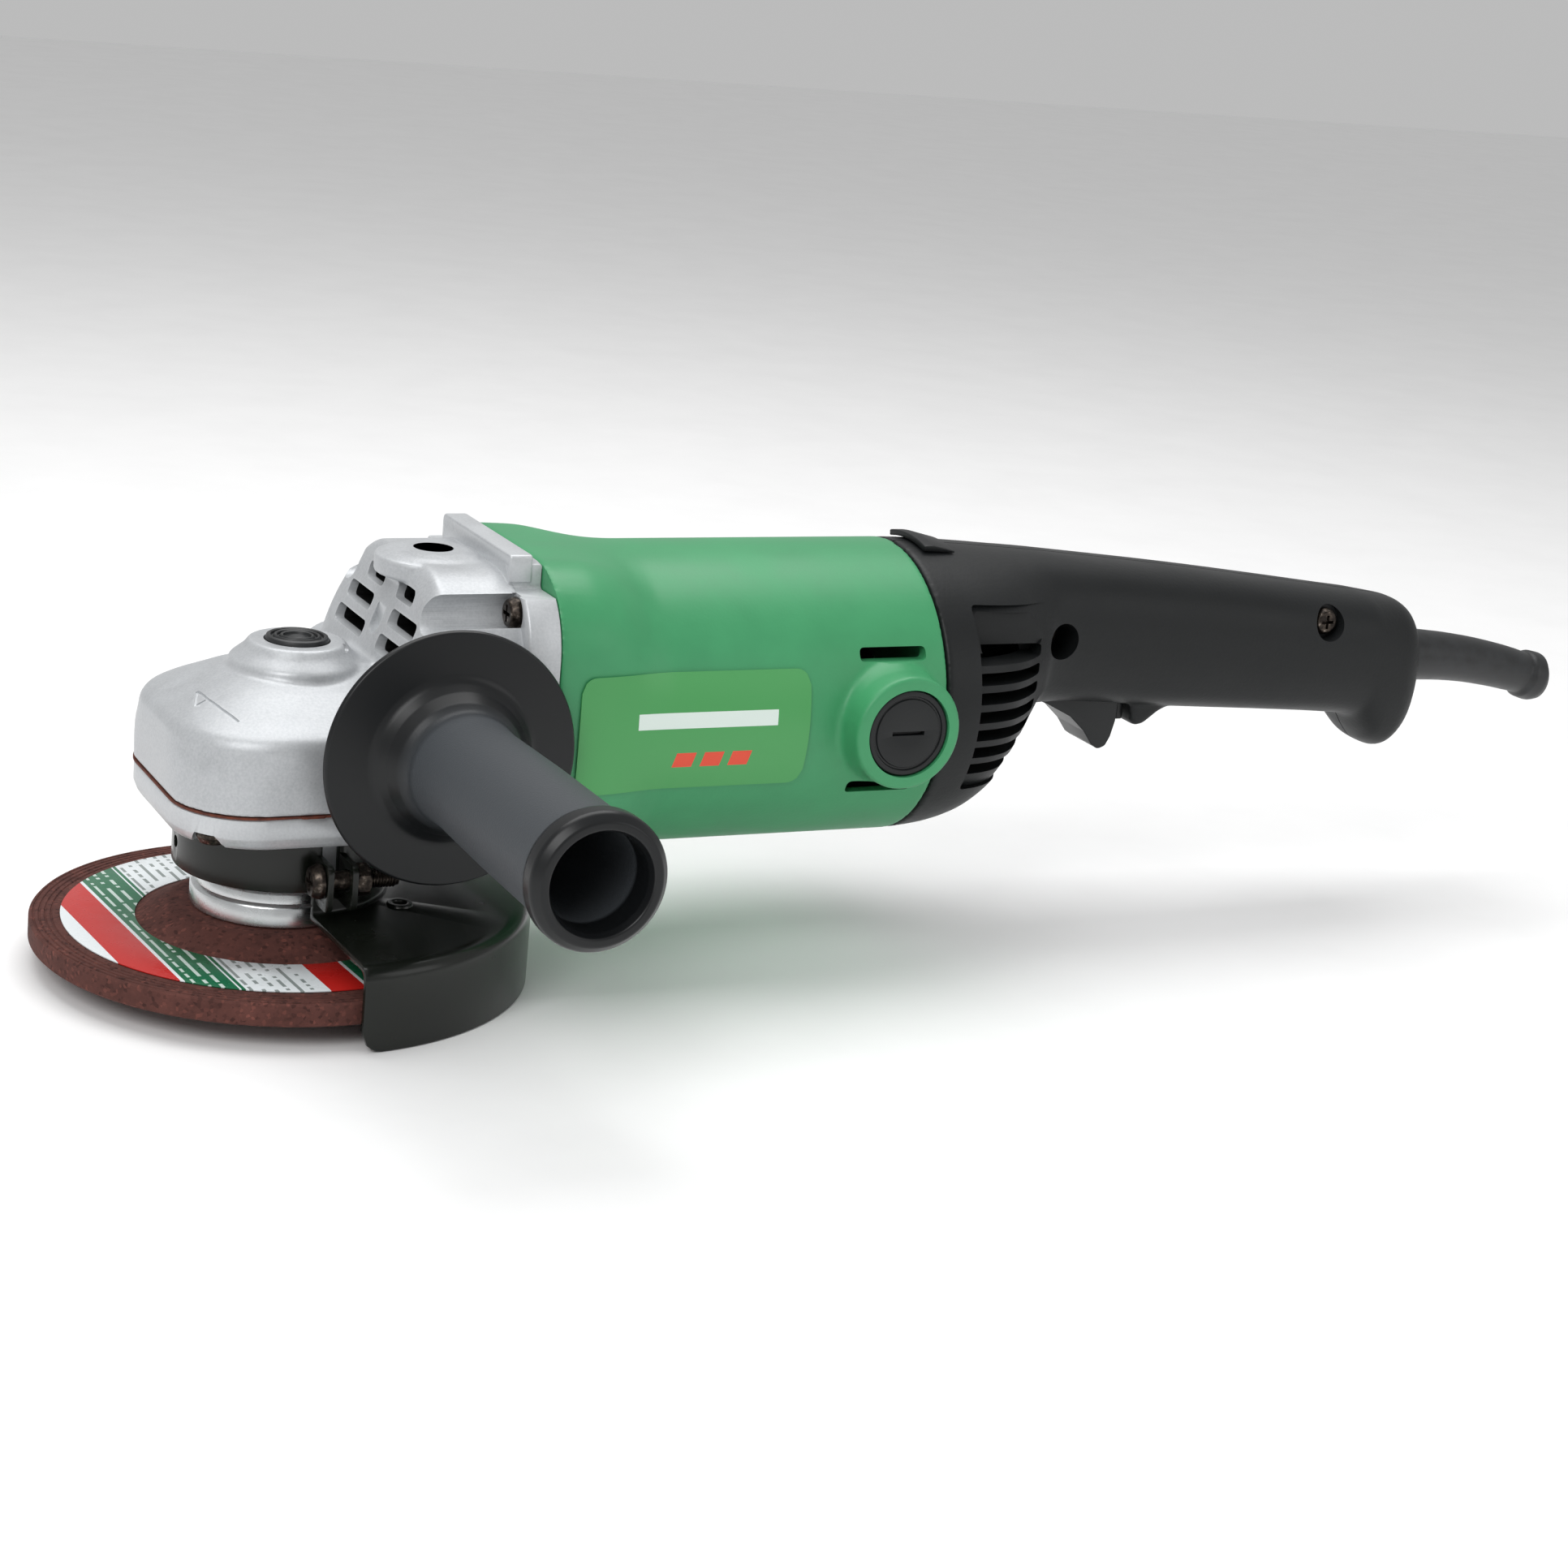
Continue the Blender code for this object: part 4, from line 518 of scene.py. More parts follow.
def black_enamel():
    """Stoved black enamel on pressed steel: deep gloss, slight orange peel."""
    look, tree, shader, place = new_finish("pressed_steel_black_enamel")
    base = linear(bpy.context.scene.grinder_finishes.enamel)
    smear = grain(tree, place, 16.0).outputs["Fac"]
    tone = blend_colour(tree, spread(tree, smear, 0.0, 0.3), base, linear("#1A1D18"))
    tree.links.new(tone, shader.inputs["Base Color"])
    tree.links.new(spread(tree, smear, 0.22, 0.28), shader.inputs["Roughness"])
    shader.inputs["Specular IOR Level"].default_value = 0.3
    shader.inputs["Coat Weight"].default_value = 0.15
    shader.inputs["Coat Roughness"].default_value = 0.15
    relief(tree, shader, grain(tree, place, 3.0, 1.0).outputs["Fac"], 0.02, 0.25)
    return look


def machined_steel(name, hexa, rough, pitch=0.5):
    """Turned metal: fine rings of tool marks, a pitch apart, and a slight change of gloss."""
    look, tree, shader, place = new_finish(name)
    rings = add_node(tree, "ShaderNodeTexWave", {"Vector": place, "Scale": 314 / pitch, "Distortion": 0.2,
                                                 "Detail": 0.0},
                     wave_type="RINGS", rings_direction="Z").outputs["Fac"]
    patch = grain(tree, place, 6.0).outputs["Fac"]
    base = linear(hexa)
    tone = blend_colour(tree, spread(tree, patch, 0.0, 1.0), [c * 0.85 for c in base[:3]] + [1], base)
    tree.links.new(tone, shader.inputs["Base Color"])
    tree.links.new(spread(tree, patch, rough - 0.03, rough + 0.04), shader.inputs["Roughness"])
    shader.inputs["Metallic"].default_value = 1.0
    relief(tree, shader, rings, 0.01, 0.2)
    return look


def black_oxide():
    """Blackened steel screws: brown-black with bare glints in the wear."""
    look, tree, shader, place = new_finish("steel_black_oxide")
    wear = grain(tree, place, 1.6).outputs["Fac"]
    tone = ramp(tree, wear, [(0.42, linear("#2A2522")), (0.6, linear("#4A423B")), (0.72, linear("#8A8078"))])
    tree.links.new(tone, shader.inputs["Base Color"])
    tree.links.new(spread(tree, wear, 0.42, 0.28), shader.inputs["Roughness"])
    shader.inputs["Metallic"].default_value = 0.85
    relief(tree, shader, wear, 0.05, 0.4)
    return look


def bonded_abrasive():
    """Resin-bonded alumina grit: matt brown, rough, with pale and dark grains."""
    look, tree, shader, place = new_finish("bonded_alumina_pressed")
    base = linear(bpy.context.scene.grinder_finishes.abrasive)
    # real grit is 0.5 mm; 0.9 mm here, so that it shows
    grit = add_node(tree, "ShaderNodeTexVoronoi", {"Vector": place, "Scale": 1000 / 0.9},
                    feature="F1").outputs["Color"]
    pick = add_node(tree, "ShaderNodeSeparateColor", {"Color": grit}).outputs["Red"]
    stain = grain(tree, place, 7.0, 5.0).outputs["Fac"]
    body = blend_colour(tree, spread(tree, stain, 0.0, 1.0), [c * 0.72 for c in base[:3]] + [1],
                        [c * 1.18 for c in base[:3]] + [1])
    grains = ramp(tree, pick, [(0.0, (0.18, 0.16, 0.16, 1)), (0.22, (0.5, 0.5, 0.5, 1)),
                               (0.86, (0.5, 0.5, 0.5, 1)), (1.0, (0.95, 0.88, 0.84, 1))])
    tone = add_node(tree, "ShaderNodeMix", {"Factor": 0.75, "A": body, "B": grains}, data_type="RGBA",
                    blend_type="OVERLAY").outputs["Result"]
    tree.links.new(tone, shader.inputs["Base Color"])
    shader.inputs["Roughness"].default_value = 0.86
    shader.inputs["Specular IOR Level"].default_value = 0.3
    height = add_node(tree, "ShaderNodeMath", {0: pick, 1: stain}, operation="ADD").outputs["Value"]
    relief(tree, shader, height, 0.22, 0.8)
    return look


def printed_label():
    """Printed paper on the wheel: straight bands, with rows of plain dashes where small print would be."""
    look, tree, shader, place = new_finish("printed_label_paper")
    finishes = bpy.context.scene.grinder_finishes
    white, green, red = linear("#E6ECEE"), linear(finishes.print_green), linear(finishes.print_red)
    axes = add_node(tree, "ShaderNodeSeparateXYZ", {"Vector": place})
    tilt, reach = 0.0787, 60      # slope of the bands, and how far they run each side of the axis, mm
    across = add_node(tree, "ShaderNodeMath", {0: axes.outputs["Y"], 1: tilt, 2: axes.outputs["X"]},
                      operation="MULTIPLY_ADD").outputs["Value"]
    along = add_node(tree, "ShaderNodeMath", {0: axes.outputs["X"], 1: -tilt, 2: axes.outputs["Y"]},
                     operation="MULTIPLY_ADD").outputs["Value"]
    share = add_node(tree, "ShaderNodeMapRange", {"Value": across, "From Min": -reach * MM, "From Max": reach * MM})
    at = [(-60, white), (-50.2, red), (-39.9, white), (-39.2, green), (-28.4, white), (-27.7, green),
          (-27.1, white), (-7.4, red), (2.0, white), (3.0, green), (22.0, white), (31.0, red), (41.0, white)]
    bands = ramp(tree, share.outputs["Result"], [((u + reach) / (2 * reach), c) for u, c in at], "CONSTANT")
    dashes = dash_rows(tree, across, along, 2.9, 1.25, ((-26.0, -9.0), (4.5, 20.0), (-37.5, -30.5)))
    ink = ramp(tree, share.outputs["Result"], [(0, linear("#8B9492")), (20.8 / 120, linear("#C9DAD2")),
                                               (32.6 / 120, linear("#8B9492")), (63 / 120, linear("#C9DAD2")),
                                               (82 / 120, linear("#8B9492"))], "CONSTANT")
    tone = blend_colour(tree, dashes, bands, ink)
    tree.links.new(tone, shader.inputs["Base Color"])
    patch = grain(tree, place, 5.0).outputs["Fac"]
    tree.links.new(spread(tree, patch, 0.24, 0.36), shader.inputs["Roughness"])
    relief(tree, shader, grain(tree, place, 1.2).outputs["Fac"], 0.03, 0.3)
    return look


def dash_rows(tree, across, along, pitch, dash, zones):
    """Factor for broken rows of print, a pitch apart, in zones given by their (low, high) across."""
    row = add_node(tree, "ShaderNodeMath", {0: across, 1: 1000 / pitch}, operation="MULTIPLY").outputs["Value"]
    phase = add_node(tree, "ShaderNodeMath", {0: row}, operation="FRACT").outputs["Value"]
    line = add_node(tree, "ShaderNodeMath", {0: phase, 1: 0.34}, operation="LESS_THAN").outputs["Value"]
    number = add_node(tree, "ShaderNodeMath", {0: row}, operation="FLOOR").outputs["Value"]
    spot = add_node(tree, "ShaderNodeCombineXYZ", {"X": number, "Y": add_node(
        tree, "ShaderNodeMath", {0: along, 1: 1000 / dash}, operation="MULTIPLY").outputs["Value"]})
    cell = add_node(tree, "ShaderNodeVectorMath", {0: spot.outputs["Vector"]}, operation="FLOOR")
    chance = add_node(tree, "ShaderNodeTexWhiteNoise", {"Vector": cell.outputs["Vector"]},
                      noise_dimensions="3D").outputs["Value"]
    inked = add_node(tree, "ShaderNodeMath", {0: chance, 1: 0.3}, operation="GREATER_THAN").outputs["Value"]
    total = None
    for low, high in zones:
        middle, half = (low + high) / 2 * MM, (high - low) / 2 * MM
        zone = add_node(tree, "ShaderNodeMath", {0: across, 1: middle, 2: half}, operation="COMPARE").outputs[0]
        total = zone if total is None else add_node(tree, "ShaderNodeMath", {0: total, 1: zone},
                                                    operation="MAXIMUM").outputs["Value"]
    shown = add_node(tree, "ShaderNodeMath", {0: line, 1: inked}, operation="MULTIPLY").outputs["Value"]
    return add_node(tree, "ShaderNodeMath", {0: shown, 1: total}, operation="MULTIPLY").outputs["Value"]


def printed_plate():
    """Side plate: screen-printed green film with one pale bar and three slanted red bars."""
    look, tree, shader, place = new_finish("screen_printed_film")
    base = linear(bpy.context.scene.grinder_finishes.plate)
    axes = add_node(tree, "ShaderNodeSeparateXYZ", {"Vector": place})
    x, z = axes.outputs["X"], axes.outputs["Z"]
    slant = add_node(tree, "ShaderNodeMath", {0: z, 1: -0.25, 2: x}, operation="MULTIPLY_ADD").outputs["Value"]

    def patch(u, v, middle_u, half_u, middle_v, half_v):
        a = add_node(tree, "ShaderNodeMath", {0: u, 1: middle_u * MM, 2: half_u * MM}, operation="COMPARE")
        b = add_node(tree, "ShaderNodeMath", {0: v, 1: middle_v * MM, 2: half_v * MM}, operation="COMPARE")
        return add_node(tree, "ShaderNodeMath", {0: a.outputs[0], 1: b.outputs[0]},
                        operation="MULTIPLY").outputs["Value"]

    tone = blend_colour(tree, patch(x, z, 100.0, 20.0, 67.2, 2.1), base, linear("#DCE9E2"))
    for middle in (80.0, 88.0, 96.0):
        tone = blend_colour(tree, patch(slant, z, middle, 2.8, 56.4, 2.0), tone, linear("#E0482C"))
    tree.links.new(tone, shader.inputs["Base Color"])
    soft = grain(tree, place, 12.0).outputs["Fac"]
    tree.links.new(spread(tree, soft, 0.3, 0.38), shader.inputs["Roughness"])
    relief(tree, shader, grain(tree, place, 0.9).outputs["Fac"], 0.02, 0.3)
    return look


def moulded_rubber():
    """Black rubber: dull, a little dusty in patches."""
    look, tree, shader, place = new_finish("black_rubber_moulded")
    dust = grain(tree, place, 4.0, 4.0).outputs["Fac"]
    tone = ramp(tree, dust, [(0.35, linear("#151617")), (0.7, linear("#242628"))])
    tree.links.new(tone, shader.inputs["Base Color"])
    tree.links.new(spread(tree, dust, 0.36, 0.5), shader.inputs["Roughness"])
    shader.inputs["IOR"].default_value = 1.52
    relief(tree, shader, grain(tree, place, 0.8).outputs["Fac"], 0.04, 0.4)
    return look


def plain_matt(name, dark, light, rough, size, metallic=0.0, depth=0.06):
    """Two close tones in blotches, for what sits inside: paper, carbon, copper, brass, laminations."""
    look, tree, shader, place = new_finish(name)
    blotch = grain(tree, place, size).outputs["Fac"]
    tone = ramp(tree, blotch, [(0.36, linear(dark)), (0.66, linear(light))])
    tree.links.new(tone, shader.inputs["Base Color"])
    tree.links.new(spread(tree, blotch, rough - 0.05, rough + 0.08), shader.inputs["Roughness"])
    shader.inputs["Metallic"].default_value = metallic
    relief(tree, shader, blotch, depth, 0.5)
    return look


FINISHES = {
    "silver": silver_paint, "green": green_nylon, "black": black_nylon, "black_smooth": black_polished,
    "grip": grip_nylon, "enamel": black_enamel, "oxide": black_oxide, "abrasive": bonded_abrasive,
    "label": printed_label, "plate": printed_plate, "rubber": moulded_rubber,
    "steel": lambda: machined_steel("steel_turned", "#B9B7B2", 0.3),
    "zinc": lambda: machined_steel("steel_zinc_plated_turned", "#D9DCDD", 0.26, 0.6),
    "gasket": lambda: plain_matt("gasket_paper_brown", "#4A1E12", "#6B3320", 0.8, 2.0),
    "copper": lambda: plain_matt("copper_enamelled_wire", "#8E4A22", "#C27A45", 0.32, 1.0, 1.0, 0.2),
    "brass": lambda: plain_matt("brass_pressed", "#9C7A35", "#C6A457", 0.34, 3.0, 1.0),
    "carbon": lambda: plain_matt("carbon_pressed", "#1B1B1C", "#303132", 0.7, 1.0),
}


def finish_of(key):
    """Material for a finish, made once."""
    made = bpy.context.scene.get("grinder_made") or {}
    name = made.get(key)
    if name is None:
        look = FINISHES[key]()
        bpy.context.scene["grinder_made"] = {**dict(made), key: look.name}
        return look
    return bpy.data.materials[name]


# ---- shared shapes ----------------------------------------------------------
def moved(obj, axis, origin):
    """Stand a piece drawn about +Z on another axis and origin."""
    obj.data.transform(frame_of(axis, Vector(origin) * MM))
    return obj


def swept(name, outlines, angles, origin=(0, 0, 0), axis=(0, 0, 1)):
    """Solid through (radius, height) outlines set at a row of angles round an axis."""
    rings = [[(r * math.cos(a), r * math.sin(a), h) for r, h in outline] for outline, a in zip(outlines, angles)]
    return moved(loft(name, rings), axis, origin)


def screw(name, head, direction, length, radius, head_r=4.2, head_t=2.8, thread_from=None):
    """Pan-head screw with a cross recess; its head's underside is at a point."""
    outline = rounded([(0, -head_t), (head_r * 0.8, -head_t), (head_r, -head_t * 0.35), (head_r, 0), (radius, 0)],
                      [0, 0.9, 0.8, 0.15, 0], 5, closed=False)
    if thread_from is None:
        outline += [(radius, length - 0.6), (radius - 0.6, length), (0, length)]
    else:
        height = thread_from
        while height < length - 0.9:
            outline += [(radius, height), (radius, height + 0.15), (radius - 0.4, height + 0.45),
                        (radius - 0.4, height + 0.6)]
            height += 0.8
        outline += [(radius - 0.4, length), (0, length)]
    made = turned(name, outline, direction, head, 40)
    arm, thin, deep = head_r * 0.52, head_r * 0.115, head_t * 0.6
    for low, high in (((-arm, -thin), (arm, thin)), ((-thin, -arm), (thin, arm))):
        shape(made, moved(box("recess", (*low, -head_t - 1), (*high, -head_t + deep)), direction, head),
              "DIFFERENCE")
    return made


def plan_ring(front, back, half, front_r, back_r, z, arc=16):
    """Rounded rectangle seen from above, front towards -X."""
    points = []
    for cx, cy, radius, first in ((back - back_r, half - back_r, back_r, 0),
                                  (-front + front_r, half - front_r, front_r, 90),
                                  (-front + front_r, -half + front_r, front_r, 180),
                                  (back - back_r, -half + back_r, back_r, 270)):
        for i in range(arc + 1):
            a = math.radians(first + 90 * i / arc)
            points.append((cx + radius * math.cos(a), cy + radius * math.sin(a), z))
    return points


def square_reach(angle, half, radius):
    """Distance from the centre to a rounded square's edge, in a direction."""
    c, s = abs(math.cos(angle)), abs(math.sin(angle))
    inner = half - radius
    if c * half >= s * half and half * s / c <= inner:
        return half / c
    if s > c and half * c / s <= inner:
        return half / s
    diagonal = inner * (c + s)
    return diagonal + math.sqrt(max(diagonal ** 2 - 2 * inner ** 2 + radius ** 2, 0))


def motor_ring(x, half, radius, blend=0.0, lean=0.0, steps=128):
    """Ring about the motor's axis, from a rounded square (blend 0) to the barrel's circle (blend 1)."""
    ring = []
    for i in range(steps):
        a = 2 * math.pi * (i + 0.5) / steps
        reach = (1 - blend) * square_reach(a, half, radius) + blend * BARREL_R
        ring.append((x + lean * reach * math.sin(a), reach * math.cos(a), MOTOR_Z + reach * math.sin(a)))
    return ring


class PieceOperator:
    """Shared settings of the operators that build a piece."""

    bl_options = {"REGISTER", "UNDO"}


# ---- wheel ------------------------------------------------------------------
class GRINDER_OT_wheel(PieceOperator, bpy.types.Operator):
    """Grinding wheel with its label, flange, nut and the spindle they run on"""

    bl_idname = "grinder.wheel"
    bl_label = "Grinding wheel"

    def execute(self, context):
        outline = [(11.1, 3.6), (24.3, 3.6), (32.5, -1), (WHEEL_R - 0.5, -1), (WHEEL_R, -0.5), (WHEEL_R, 4.5),
                   (WHEEL_R - 0.4, 5)]
        for i in range(context.scene.grinder_shapes.rim_grooves):
            r = WHEEL_R - 1.2 - 1.5 * i
            outline += [(r + 0.35, 5), (r + 0.12, 4.7), (r - 0.12, 4.7), (r - 0.35, 5)]
        outline += [(36.4, 5), (35.2, 5.12), (34.0, 5.7), (28.2, 9.0), (26.8, 9.6), (11.1, 9.6)]
        fit(turned("wheel", outline, steps=240), "wheel_spindle", finish_of("abrasive"), ["grinding_wheel"])
        fit(turned("label", [(35.8, 5.15), (54.6, 5.15), (54.6, 5.4), (54.5, 5.45), (35.9, 5.45), (35.8, 5.4)],
                   steps=200), "wheel_spindle", finish_of("label"), ["wheel_label"])
        flange = [(7.3, 6.0), (10.8, 6.0), (10.8, 9.9), (22.0, 9.9), (22.3, 10.2), (22.3, 14.9), (22.0, 15.4),
                  (21.2, 16.1), (21.0, 18.2), (20.6, 18.9), (19.8, 19.3), (13.0, 19.3), (12.6, 19.1), (9.6, 19.1),
                  (9.2, 19.3), (7.3, 19.3)]
        fit(turned("flange", flange), "wheel_spindle", finish_of("zinc"), ["inner_flange"])
        nut = turned("wheel_nut", [(7.3, -0.7), (7.8, -1.0), (18.6, -1.0), (19.3, -0.7), (20.0, 0.3), (20.0, 3.3),
                                   (13.0, 3.3), (12.6, 3.0), (7.3, 3.0)])
        for i in range(4):
            a = math.radians(45 + 90 * i)
            x, y = 15 * math.cos(a), 15 * math.sin(a)
            carve(nut, rod("pin_hole", 2.4, (x, y, -2), (x, y, 2.1), 32))
        fit(nut, "wheel_spindle", finish_of("oxide"), ["lock_nut"])
        spindle = [(0, 1.2), (2.4, 1.2), (2.4, 0), (6.2, 0)]
        height = 0.5
        while height < 6.5:
            spindle += [(6.6, height), (7.0, height + 0.5), (7.0, height + 0.8), (6.45, height + 1.25)]
            height += 1.5
        spindle += [(7.0, 7.2), (7.0, 19.6), (9.5, 19.6), (9.5, 26.8), (8.2, 26.8), (8.2, 38.4), (11, 38.4),
                    (11, 44.7), (8, 44.7), (8, 58.3), (6, 58.3), (6, 60.6), (5.6, 61.0), (0, 61.0)]
        fit(turned("spindle_shaft", spindle, steps=64), "wheel_spindle", finish_of("steel"), ["spindle"])
        return {"FINISHED"}


# ---- guard ------------------------------------------------------------------
class GRINDER_OT_guard(PieceOperator, bpy.types.Operator):
    """Pressed guard with its clamp band, ears, screw and nut"""

    bl_idname = "grinder.guard"
    bl_label = "Wheel guard"

    def execute(self, context):
        look = finish_of("enamel")
        steps, half, corner = 150, math.radians(88.4), 5.5
        outlines, angles = [], []
        for i in range(steps + 1):
            a = -half + 2 * half * i / steps
            gap = (half - abs(a)) * 66.0
            cut = corner - math.sqrt(max(corner ** 2 - (corner - gap) ** 2, 0)) if gap < corner else 0.0
            bottom = -7.2 + cut
            outlines.append(rounded([(25.75, 20.9), (25.75, 13.5), (64.7, 13.5), (64.7, bottom), (66.2, bottom),
                                     (66.2, 15), (27.25, 15), (27.25, 20.9)],
                                    [0.2, 0.8, 2.8, 0.5, 0.5, 4.2, 1.4, 0.2], 5))
            angles.append(a)
        shell = swept("guard", outlines, angles)
        lip = turned("lip", rounded([(1.6, 14.2), (3.7, 14.2), (3.3, 15.7), (1.9, 15.7)], 0.4, 4),
                     origin=(25.5, -23, 0), steps=40)
        shape(shell, rod("eyelet", 2.6, (25.5, -23, 10), (25.5, -23, 16), 32), "DIFFERENCE")
        shape(shell, lip, "UNION")
        fit(soften(shell, 0.3, 2, 50), "guard", look, ["guard_shell"])

        first = math.atan2(-math.sqrt(27.25 ** 2 - 7.4 ** 2), 7.4)
        last = 2 * math.pi + math.atan2(-math.sqrt(27.25 ** 2 - 2.5 ** 2), 2.5)
        turns = [first + (last - first) * i / 150 for i in range(151)]
        outline = rounded([(25.75, 21.2), (27.25, 21.2), (27.25, 34.2), (25.75, 34.2)], 0.35, 3)
        band = swept("band", [outline] * len(turns), turns)
        for x0, root in ((1.0, -25.9), (7.4, -24.9)):
            ear = rounded([(-37.2, 18.8), (root, 18.8), (root, 31.0), (-37.2, 31.0)], [2.4, 0, 0, 2.4], 8)
            shape(band, prism("ear", ear, x0, x0 + 1.5, "yz"), "UNION")
        carve(band, rod("clamp_hole", 2.7, (-2, -32.3, 26), (12, -32.3, 26), 32),
              rod("front_hole", 1.6, (-30, 0.3, 27.4), (-20, 0.3, 27.4), 32))
        fit(soften(band, 0.25, 2, 50), "guard", look, ["guard_band"])

        bolt = screw("clamp_bolt", (0.7, -32.3, 26), (1, 0, 0), 20, 2.4, 4.5, 3.0, 8.4)
        fit(bolt, "guard", finish_of("oxide"), ["clamp_screw"])
        hexagon = [(4.5 * math.cos(math.radians(60 * i)), 4.5 * math.sin(math.radians(60 * i))) for i in range(6)]
        nut = moved(prism("clamp_hex", rounded(hexagon, 0.5, 3), 0, 3.6, "xy"), (1, 0, 0), (9.2, -32.3, 26))
        cone = turned("cone", [(0, -0.2), (3.7, -0.2), (5.2, 1.3), (5.2, 2.3), (3.7, 3.8), (0, 3.8)], (1, 0, 0),
                      (9.2, -32.3, 26), 48)
        shape(nut, cone, "INTERSECT")
        carve(nut, rod("thread", 2.7, (8, -32.3, 26), (14, -32.3, 26), 32))
        fit(nut, "guard", finish_of("oxide"), ["clamp_nut"])
        return {"FINISHED"}


# ---- gear head --------------------------------------------------------------
NOSE = ((0, 34.0, 35.5, 20), (10, 34.5, 36.3, 23), (16, 34.3, 36.8, 26), (18.6, 33.2, 36.2, 26),
        (21, 30.4, 33.0, 25), (24, 25.2, 26.5, 21), (27, 19, 20, 16), (29.5, 12.8, 13.5, 11), (31.6, 8.5, 9.5, 8))
NOSE_BASE = 44.5
SCREW_CORNERS = [(sy * 29.8, MOTOR_Z + sz * 29.8) for sy in (-1, 1) for sz in (-1, 1)]
COVER_CORNERS = [(sx * 25.5, sy * 25.5) for sx in (-1, 1) for sy in (-1, 1)]


def casting_solids():
    """Solids that the gear head's casting is fused from."""
    nose = []
    for up in stations(0, 31.6, 0.8):
        front, half, corner = between(NOSE, up)
        nose.append(plan_ring(front, 49.0, half, corner, 4, NOSE_BASE + up))
    rows = ((22, 17, 15.2, 0.36), (30, 21, 15.7, 0.35), (34.5, 23, 17.2, 0.29), (37.2, 24, 20.7, 0.22),
            (38.4, 25, 27, 0.08), (38.4, 25, 50, 0.0))
    fan_house = loft("fan_house", [motor_ring(x, half, corner, lean=lean) for half, corner, x, lean in rows])
    carve(fan_house, box("below", (-50, -60, 0), (60, 60, MOTOR_Z - 4)))
    cowl = turned("cowl", [(0, 66), (18.5, 66), (17, 75.2), (13.6, 78.0), (12.2, 80), (0, 80)], origin=(PIN_X, 0, 0))
    return [loft("nose", nose), fan_house, rod("fan_case", 38.8, (37, 0, MOTOR_Z), (49.5, 0, MOTOR_Z), 128), cowl,
            turned("top_boss", [(0, 93.6), (15, 97), (15, 101.6), (11.5, 102.9), (8.5, 103.6), (0, 103.6)],
                   origin=(37, 0, 0)),
            rod("side_bosses", 12.5, (SOCKET[0], -44.3, SOCKET[1]), (SOCKET[0], 44.3, SOCKET[1]), 96)]


def casting_hollows(head):
    """Cut what the casting houses: gears, bearing, fan, screws and handle sockets, and its air vents."""
    chamber = [(0, NOSE_BASE - 1), (32, NOSE_BASE - 1), (32, 59.5), (19, 63.5), (13, 67), (0, 67)]
    carve(head, turned("chamber", chamber, steps=96),
          turned("pinion_bore", [(0, 13), (8.6, 13), (8.6, 18), (11.2, 27), (11.2, 34), (0, 34)], *MOTOR_LINE, 64),
          rod("bearing_seat", 13.3, (33.7, 0, MOTOR_Z), (46.5, 0, MOTOR_Z), 64),
          rod("fan_chamber", 36.2, (45.5, 0, MOTOR_Z), (70, 0, MOTOR_Z), 128),
          box("air_way", (29.5, -20, MOTOR_Z + 16.5), (46.5, 20, MOTOR_Z + 29)))
    for z, inner, outer in ((94.2, 5.0, 17.0), (87.4, 7.0, 25.0), (80.6, 5.5, 27.0)):
        for side in (-1, 1):
            carve(head, prism("vent", slot_outline(side * (inner + outer) / 2, z, (outer - inner) / 2, 2.2, 1.6), 12,
                              36 if outer < 20 else 32, "yz"))
    carve(head, prism("oval", slot_outline(0, 85.7, 3.0, 4.4, 3.0, 10), 10, 24.3, "yz"),
          rod("button_well", 8.5, (PIN_X, 0, 71), (PIN_X, 0, 82), 96),
          rod("pin_hole", 2.2, (-4, 0, 65), (-4, 0, 72), 32),
          rod("top_socket", 5.2, (37, 0, 104.6), (37, 0, 97.6), 64, 0.4))
    for side in (-1, 1):
        mouth, root = ((SOCKET[0], side * y, SOCKET[1]) for y in (45.3, 28.3))
        carve(head, rod("side_socket", 5.2, mouth, root, 64))
    for x, y in COVER_CORNERS:
        carve(head, rod("cover_thread", 2.3, (x, y, NOSE_BASE - 1), (x, y, NOSE_BASE + 11), 32))
    for y, z in SCREW_CORNERS:
        carve(head, rod("head_way", 5.2, (22, y, z), (49.3, y, z), 64),
              rod("shank_way", 2.6, (48, y, z), (58.3, y, z), 32))


